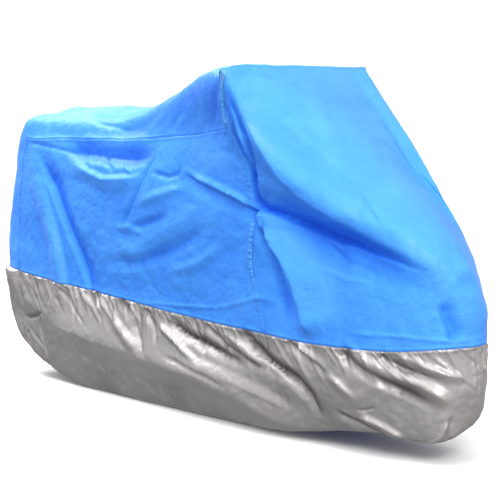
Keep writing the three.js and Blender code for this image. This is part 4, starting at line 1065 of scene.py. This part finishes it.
# edges that turn by more than this stay sharp in the shading, which are those of the rims
RIM_ANGLE = math.radians(60)


def thicken(piece):
    """Gives a sheet its thickness, inwards."""
    wall = piece.modifiers.new("cloth", "SOLIDIFY")
    wall.thickness = CLOTH * MILLIMETRE
    wall.offset = -1.0
    wall.use_even_offset = False
    plain_mesh(piece).data.set_sharp_from_angle(angle=RIM_ANGLE)
    return piece


cloth = {node: thicken(panel_object(node)) for node in BARE}
for node, piece in cloth.items():
    print(node, "faces", len(piece.data.polygons))

# %% [markdown]
# ## Stitches
#
# The seams are closed by a lock stitch, seen as one line of short threads on either side of
# the ditch. A stitch repeats thousands of times along a path, which is what Geometry Nodes
# are for: one small thread is built once and set on points spaced along each seam's line.

# %% Lines that the stitches follow
STITCH_ROW = 3
STITCH_LIFT = 0.25


def stitch_lines(node):
    """The lines beside a panel's seams, a little proud of the cloth."""
    points = SHAPED[node] + outward(SHAPED[node]) * STITCH_LIFT
    inner = slice(STITCH_ROW, -STITCH_ROW)
    lines = [points[-1 - STITCH_ROW, inner]]
    if node not in SKIRTS:
        lines += [points[STITCH_ROW, inner]]
        lines += [points[inner, STITCH_ROW], points[inner, -1 - STITCH_ROW]]
    return lines


def line_object(name, lines):
    """Open lines of edges as one mesh object."""
    vertices, edges = [], []
    for line in lines:
        first = len(vertices)
        vertices += (line * MILLIMETRE).tolist()
        edges += [(first + k, first + k + 1) for k in range(len(line) - 1)]
    mesh = bpy.data.meshes.new(name)
    mesh.from_pydata(vertices, edges, [])
    piece = bpy.data.objects.new(name, mesh)
    bpy.context.scene.collection.objects.link(piece)
    return piece


# %% A node tree that sews
STITCH_INPUTS = {"Stitch Pitch": 0.0058, "Stitch Length": 0.0040, "Thread Thickness": 0.0011}


def stitching_tree(thread):
    """A node group that lays one thread on each point along the lines."""
    tree = bpy.data.node_groups.new("stitching", "GeometryNodeTree")
    face = tree.interface
    face.new_socket("Geometry", in_out="INPUT", socket_type="NodeSocketGeometry")
    for title, value in STITCH_INPUTS.items():
        socket = face.new_socket(title, in_out="INPUT", socket_type="NodeSocketFloat")
        socket.default_value = value
    face.new_socket("Geometry", in_out="OUTPUT", socket_type="NodeSocketGeometry")
    node = {title: tree.nodes.new(kind) for title, kind in {
        "in": "NodeGroupInput", "out": "NodeGroupOutput", "curve": "GeometryNodeMeshToCurve",
        "points": "GeometryNodeResampleCurve", "way": "GeometryNodeInputTangent",
        "turn": "FunctionNodeAlignRotationToVector", "thread": "GeometryNodeMeshUVSphere",
        "size": "ShaderNodeCombineXYZ", "uneven": "FunctionNodeRandomValue",
        "length": "ShaderNodeMath", "lay": "GeometryNodeInstanceOnPoints",
        "real": "GeometryNodeRealizeInstances", "finish": "GeometryNodeSetMaterial",
    }.items()}
    node["points"].mode = "LENGTH"
    node["turn"].axis = "X"
    for title, value in {"Segments": 4, "Rings": 3, "Radius": 0.5}.items():
        node["thread"].inputs[title].default_value = value
    node["uneven"].data_type = "FLOAT"
    for title, value in {"Min": 0.8, "Max": 1.15, "Seed": 5}.items():
        socket = [one for one in node["uneven"].inputs if one.name == title and one.enabled][0]
        socket.default_value = value
    node["length"].operation = "MULTIPLY"
    node["finish"].inputs["Material"].default_value = thread
    uneven = [one for one in node["uneven"].outputs if one.enabled][0]
    tree.links.new(uneven, node["length"].inputs[1])
    for source, output, target, socket in [
        ("in", "Geometry", "curve", "Mesh"), ("curve", "Curve", "points", "Curve"),
        ("in", "Stitch Pitch", "points", "Length"), ("points", "Curve", "lay", "Points"),
        ("thread", "Mesh", "lay", "Instance"), ("way", "Tangent", "turn", "Vector"),
        ("turn", "Rotation", "lay", "Rotation"), ("in", "Stitch Length", "length", 0),
        ("length", "Value", "size", "X"), ("in", "Thread Thickness", "size", "Y"),
        ("in", "Thread Thickness", "size", "Z"), ("size", "Vector", "lay", "Scale"),
        ("lay", "Instances", "real", "Geometry"), ("real", "Geometry", "finish", "Geometry"),
        ("finish", "Geometry", "out", "Geometry"),
    ]:
        tree.links.new(node[source].outputs[output], node[target].inputs[socket])
    return tree


def sewn(name, lines, thread):
    """Stitches along lines as one plain mesh."""
    piece = line_object(name, lines)
    tree = stitching_tree(thread)
    nodes = piece.modifiers.new("stitching", "NODES")
    nodes.node_group = tree
    for item in tree.interface.items_tree:
        if item.in_out == "INPUT" and item.name in STITCH_INPUTS:
            nodes[item.identifier] = STITCH_INPUTS[item.name]
    return plain_mesh(piece)


# %% [markdown]
# ## Finishes

# %% Helpers for node trees


def set_inputs(node, values):
    """Sets inputs of a node by name."""
    for title, value in values.items():
        node.inputs[title].default_value = value


def new_material(name):
    """An empty node material with its shader and output."""
    material = bpy.data.materials.new(name)
    material.use_nodes = True
    tree = material.node_tree
    tree.nodes.clear()
    output = tree.nodes.new("ShaderNodeOutputMaterial")
    shader = tree.nodes.new("ShaderNodeBsdfPrincipled")
    tree.links.new(shader.outputs["BSDF"], output.inputs["Surface"])
    return material, tree, shader


def noise_node(tree, vector, scale, detail=3.0, roughness=0.5, kind="FBM"):
    """A noise texture on a vector."""
    node = tree.nodes.new("ShaderNodeTexNoise")
    node.noise_type = kind
    set_inputs(node, {"Scale": scale, "Detail": detail, "Roughness": roughness})
    tree.links.new(vector, node.inputs["Vector"])
    return node.outputs["Fac"]


def ramp_node(tree, value, stops):
    """A colour ramp with (place, colour) stops."""
    node = tree.nodes.new("ShaderNodeValToRGB")
    elements = node.color_ramp.elements
    elements[0].position, elements[0].color = stops[0]
    elements[1].position, elements[1].color = stops[-1]
    for place, colour in stops[1:-1]:
        elements.new(place).color = colour
    tree.links.new(value, node.inputs["Fac"])
    return node.outputs["Color"]


def math_node(tree, operation, *values):
    """A math node on sockets or plain numbers."""
    node = tree.nodes.new("ShaderNodeMath")
    node.operation = operation
    for place, value in enumerate(values):
        if isinstance(value, (int, float)):
            node.inputs[place].default_value = value
        else:
            tree.links.new(value, node.inputs[place])
    return node.outputs["Value"]


def attribute_node(tree, name):
    """A number that the mesh keeps at each point."""
    node = tree.nodes.new("ShaderNodeAttribute")
    node.attribute_name = name
    return node.outputs["Fac"]


def map_node(tree, name):
    """One of the mesh's two maps."""
    node = tree.nodes.new("ShaderNodeUVMap")
    node.uv_map = name
    return node.outputs["UV"]


def bump_node(tree, height, distance, strength, before=None):
    """A bump from a height, on top of another bump if one is given."""
    node = tree.nodes.new("ShaderNodeBump")
    set_inputs(node, {"Strength": strength, "Distance": distance})
    tree.links.new(height, node.inputs["Height"])
    if before is not None:
        tree.links.new(before, node.inputs["Normal"])
    return node.outputs["Normal"]


# %% Puckers beside a seam, for both cloths
PUCKERS_EACH_METRE = 115.0
PUCKER_STRETCH = 0.12
PUCKER_REACH = 0.016
BUNCHED_MORE = 2.6


def pucker_bump(tree, distance, before):
    """Short ridges square to the nearest seam that die out over the pucker's reach."""
    split = tree.nodes.new("ShaderNodeSeparateXYZ")
    tree.links.new(map_node(tree, "seam"), split.inputs["Vector"])
    stretch = tree.nodes.new("ShaderNodeCombineXYZ")
    for axis, scale in {"X": 1.0, "Y": PUCKER_STRETCH}.items():
        place = math_node(tree, "MULTIPLY", split.outputs[axis], PUCKERS_EACH_METRE * scale)
        tree.links.new(place, stretch.inputs[axis])
    ridges = noise_node(tree, stretch.outputs["Vector"], 1.0, 2.0)
    fade = math_node(tree, "DIVIDE", split.outputs["Y"], -PUCKER_REACH)
    fade = math_node(tree, "EXPONENT", fade)
    fade = math_node(tree, "MULTIPLY_ADD", attribute_node(tree, "bunched"), BUNCHED_MORE, fade)
    return bump_node(tree, math_node(tree, "MULTIPLY", ridges, fade), distance, 1.0, before)


# %% Painted light and crumpling, for both cloths


def painted_light_colour(tree, vector, patches, spread, stops):
    """The colour by its painted light or shade, made uneven by patches of noise."""
    uneven = noise_node(tree, vector, *patches)
    uneven = math_node(tree, "MULTIPLY_ADD", uneven, spread, -spread / 2)
    return ramp_node(tree, math_node(tree, "ADD", attribute_node(tree, "faded"), uneven), stops)


def crumpled_bump(tree, vector, layers):
    """Bumps of noise, each laid over the one before."""
    bump = None
    for scale, detail, roughness, kind, depth, strength in layers:
        height = noise_node(tree, vector, scale, detail, roughness, kind)
        bump = bump_node(tree, height, depth, strength, bump)
    return bump


# %% Blue coated cloth
# from the painted shade of a deep fold to the painted light of cloth that faces the lamps
BLUES = [
    (0.00, (0.022, 0.160, 0.85, 1)), (0.22, (0.034, 0.225, 0.92, 1)),
    (0.40, (0.052, 0.285, 0.95, 1)), (0.78, (0.085, 0.370, 0.94, 1)),
    (1.00, (0.205, 0.480, 1.00, 1))]
# scale, detail, roughness and kind of the noise, then the depth in metres and the strength
BLUE_CRUMPLE = [
    (9.0, 4.0, 0.5, "RIDGED_MULTIFRACTAL", 0.009, 0.5),
    (24.0, 6.0, 0.6, "FBM", 0.012, 0.5),
    (105.0, 3.0, 0.6, "FBM", 0.003, 0.4)]
BLUE_SHINE = {
    "Roughness": 0.42, "Specular IOR Level": 0.30, "Specular Tint": (0.35, 0.70, 1.0, 1),
    "Sheen Weight": 0.12, "Sheen Tint": (0.12, 0.45, 1.0, 1), "Sheen Roughness": 0.35}


def weave_bump(tree, distance, before):
    """A fine plain weave on the cloth's own map."""
    threads = tree.nodes.new("ShaderNodeTexWave")
    set_inputs(threads, {"Scale": 220.0, "Distortion": 1.5})
    threads.bands_direction = "DIAGONAL"
    tree.links.new(map_node(tree, "cloth"), threads.inputs["Vector"])
    return bump_node(tree, threads.outputs["Fac"], distance, 0.5, before)


def blue_finish():
    """Blue coated cloth: painted light and shade in its colour, finely creased, with a soft shine.
    """
    material, tree, shader = new_material("blue coated cloth")
    place = tree.nodes.new("ShaderNodeTexCoord").outputs["Object"]
    colour = painted_light_colour(tree, place, (7.0, 6.0, 0.65), 0.44, BLUES)
    tree.links.new(colour, shader.inputs["Base Color"])
    bump = pucker_bump(tree, 0.004, crumpled_bump(tree, place, BLUE_CRUMPLE))
    tree.links.new(weave_bump(tree, 0.0002, bump), shader.inputs["Normal"])
    set_inputs(shader, BLUE_SHINE)
    return material


# %% Silver coated cloth
# from the painted shade of the silver's folds to its painted light
SILVERS = [
    (0.05, (0.17, 0.155, 0.165, 1)), (0.38, (0.35, 0.335, 0.34, 1)),
    (0.85, (0.46, 0.44, 0.43, 1))]
SILVER_CRUMPLE = [
    (10.0, 4.0, 0.5, "RIDGED_MULTIFRACTAL", 0.003, 0.5),
    (28.0, 6.0, 0.6, "FBM", 0.007, 0.4),
    (120.0, 3.0, 0.6, "FBM", 0.0014, 0.35)]


def silver_finish():
    """Silver coated cloth: a thin metal-filled film with a satin shine."""
    material, tree, shader = new_material("silver coated cloth")
    place = tree.nodes.new("ShaderNodeTexCoord").outputs["Object"]
    # the silver's colour carries painted light and shade too
    colour = painted_light_colour(tree, place, (6.0, 5.0, 0.5), 0.4, SILVERS)
    tree.links.new(colour, shader.inputs["Base Color"])
    bump = pucker_bump(tree, 0.005, crumpled_bump(tree, place, SILVER_CRUMPLE))
    tree.links.new(bump, shader.inputs["Normal"])
    set_inputs(shader, {"Metallic": 0.62, "Roughness": 0.40})
    return material


# %% Sewing thread


def thread_finish(name, colour):
    """A dull thread, in the cloth's colour, with a slight unevenness."""
    material, tree, shader = new_material(name)
    place = tree.nodes.new("ShaderNodeTexCoord").outputs["Object"]
    darker = tuple(value * 0.7 for value in colour)
    uneven = ramp_node(
        tree, noise_node(tree, place, 300.0, 2.0), [(0.3, (*darker, 1)), (0.7, (*colour, 1))])
    tree.links.new(uneven, shader.inputs["Base Color"])
    set_inputs(shader, {"Roughness": 0.8, "Specular IOR Level": 0.15})
    return material


FINISHES = {
    "blue_cloth": blue_finish(), "silver_cloth": silver_finish(),
    "blue thread": thread_finish("blue thread", (0.045, 0.24, 0.86)),
    "grey thread": thread_finish("grey thread", (0.42, 0.40, 0.40)),
}
for node, piece in cloth.items():
    piece.data.materials.clear()
    piece.data.materials.append(FINISHES["silver_cloth" if node in SKIRTS else "blue_cloth"])

# %% Sew the seams
stitches = {
    "blue_cloth": sewn("blue_stitches", [
        line for node in BARE if node not in SKIRTS for line in stitch_lines(node)],
        FINISHES["blue thread"]),
    "silver_cloth": sewn("silver_stitches", [
        line for node in SKIRTS for line in stitch_lines(node)], FINISHES["grey thread"]),
}
for finish, piece in stitches.items():
    print("stitches on the", finish, "triangles:",
          sum(len(face.vertices) - 2 for face in piece.data.polygons))

# %% [markdown]
# ## Floor and light
#
# The cover stands under soft studio light: a pale sky that is dim below, one soft lamp low in
# front for the nose, one high behind for the seat and the tail, and a weak one overhead. Lamps
# from three sides give every fold a lit and a shaded slope. The floor is white to the eye but
# sends no light back up, because a white floor would fill the shade under the silver.

# %% Floor
FLOOR_HALF = 40.0
FLOOR_GAP = 0.002


def pale_floor():
    """A large pale sheet just under the cover's lowest point."""
    low = SOLID_BOX[0][2] - FLOOR_GAP
    corners = [(x * FLOOR_HALF, y * FLOOR_HALF, low)
               for x, y in ((-1, -1), (1, -1), (1, 1), (-1, 1))]
    mesh = bpy.data.meshes.new("floor")
    mesh.from_pydata(corners, [], [(0, 1, 2, 3)])
    floor = bpy.data.objects.new("floor", mesh)
    bpy.context.scene.collection.objects.link(floor)
    material, _, shader = new_material("pale floor")
    set_inputs(shader, {
        "Base Color": (0.94, 0.94, 0.94, 1), "Roughness": 0.9, "Specular IOR Level": 0.1})
    mesh.materials.append(material)
    floor.visible_diffuse = False
    floor.visible_glossy = False


pale_floor()

# %% Lights
# where each lamp stands and what it is aimed at, its two sizes and its power
LAMPS = {
    "key lamp": ((3.4, -1.7, 2.3), (0.4, 0.0, 0.6), (1.2, 1.2), 58.0),
    "back lamp": ((-3.1, -0.6, 3.6), (-0.5, 0.0, 0.7), (1.4, 1.2), 135.0),
    "top lamp": ((0.2, -1.5, 4.2), (0.1, 0.0, 0.6), (1.8, 1.2), 40.0),
}
# height from straight down to straight up, and the grey of the sky there
SKY = [
    (0.0, 0.22), (0.44, 0.28), (0.485, 0.70), (0.52, 0.70), (0.56, 0.36), (0.75, 0.50),
    (1.0, 0.90)]
SKY_STRENGTH = 2.0


def area_light(name, place, target, size, power):
    """A soft rectangular lamp aimed at a point."""
    data = bpy.data.lights.new(name, "AREA")
    data.shape = "RECTANGLE"
    data.size, data.size_y = size
    data.energy = power
    lamp = bpy.data.objects.new(name, data)
    bpy.context.scene.collection.objects.link(lamp)
    lamp.location = place
    lamp.rotation_mode = "QUATERNION"
    lamp.rotation_quaternion = (Vector(target) - Vector(place)).to_track_quat("-Z", "Y")


def studio_light():
    """A white sky that is dim below, and three soft lamps."""
    for name, lamp in LAMPS.items():
        area_light(name, *lamp)
    world = bpy.data.worlds.new("studio")
    world.use_nodes = True
    tree = world.node_tree
    background = tree.nodes["Background"]
    way = tree.nodes.new("ShaderNodeTexCoord")
    split = tree.nodes.new("ShaderNodeSeparateXYZ")
    tree.links.new(way.outputs["Generated"], split.inputs["Vector"])
    height = math_node(tree, "MULTIPLY_ADD", split.outputs["Z"], 0.5, 0.5)
    sky = ramp_node(tree, height, [(place, (grey, grey, grey, 1)) for place, grey in SKY])
    tree.links.new(sky, background.inputs["Color"])
    background.inputs["Strength"].default_value = SKY_STRENGTH
    bpy.context.scene.world = world
    bpy.context.scene.view_settings.view_transform = "Standard"


studio_light()

# %% [markdown]
# ## Hand the pieces to the frame
#
# Every panel stands for its solid and rides on the one body, and the area printed for each is
# what is left after the cut.

# %% Hide each solid, and put the panels and stitches on the body
for node, piece in cloth.items():
    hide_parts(node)
    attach(piece, BODY)
    measured = sum(face.area for face in piece.data.polygons) / 2
    print(node, "measured area", round(measured, 3))
for finish, piece in stitches.items():
    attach(piece, BODY)
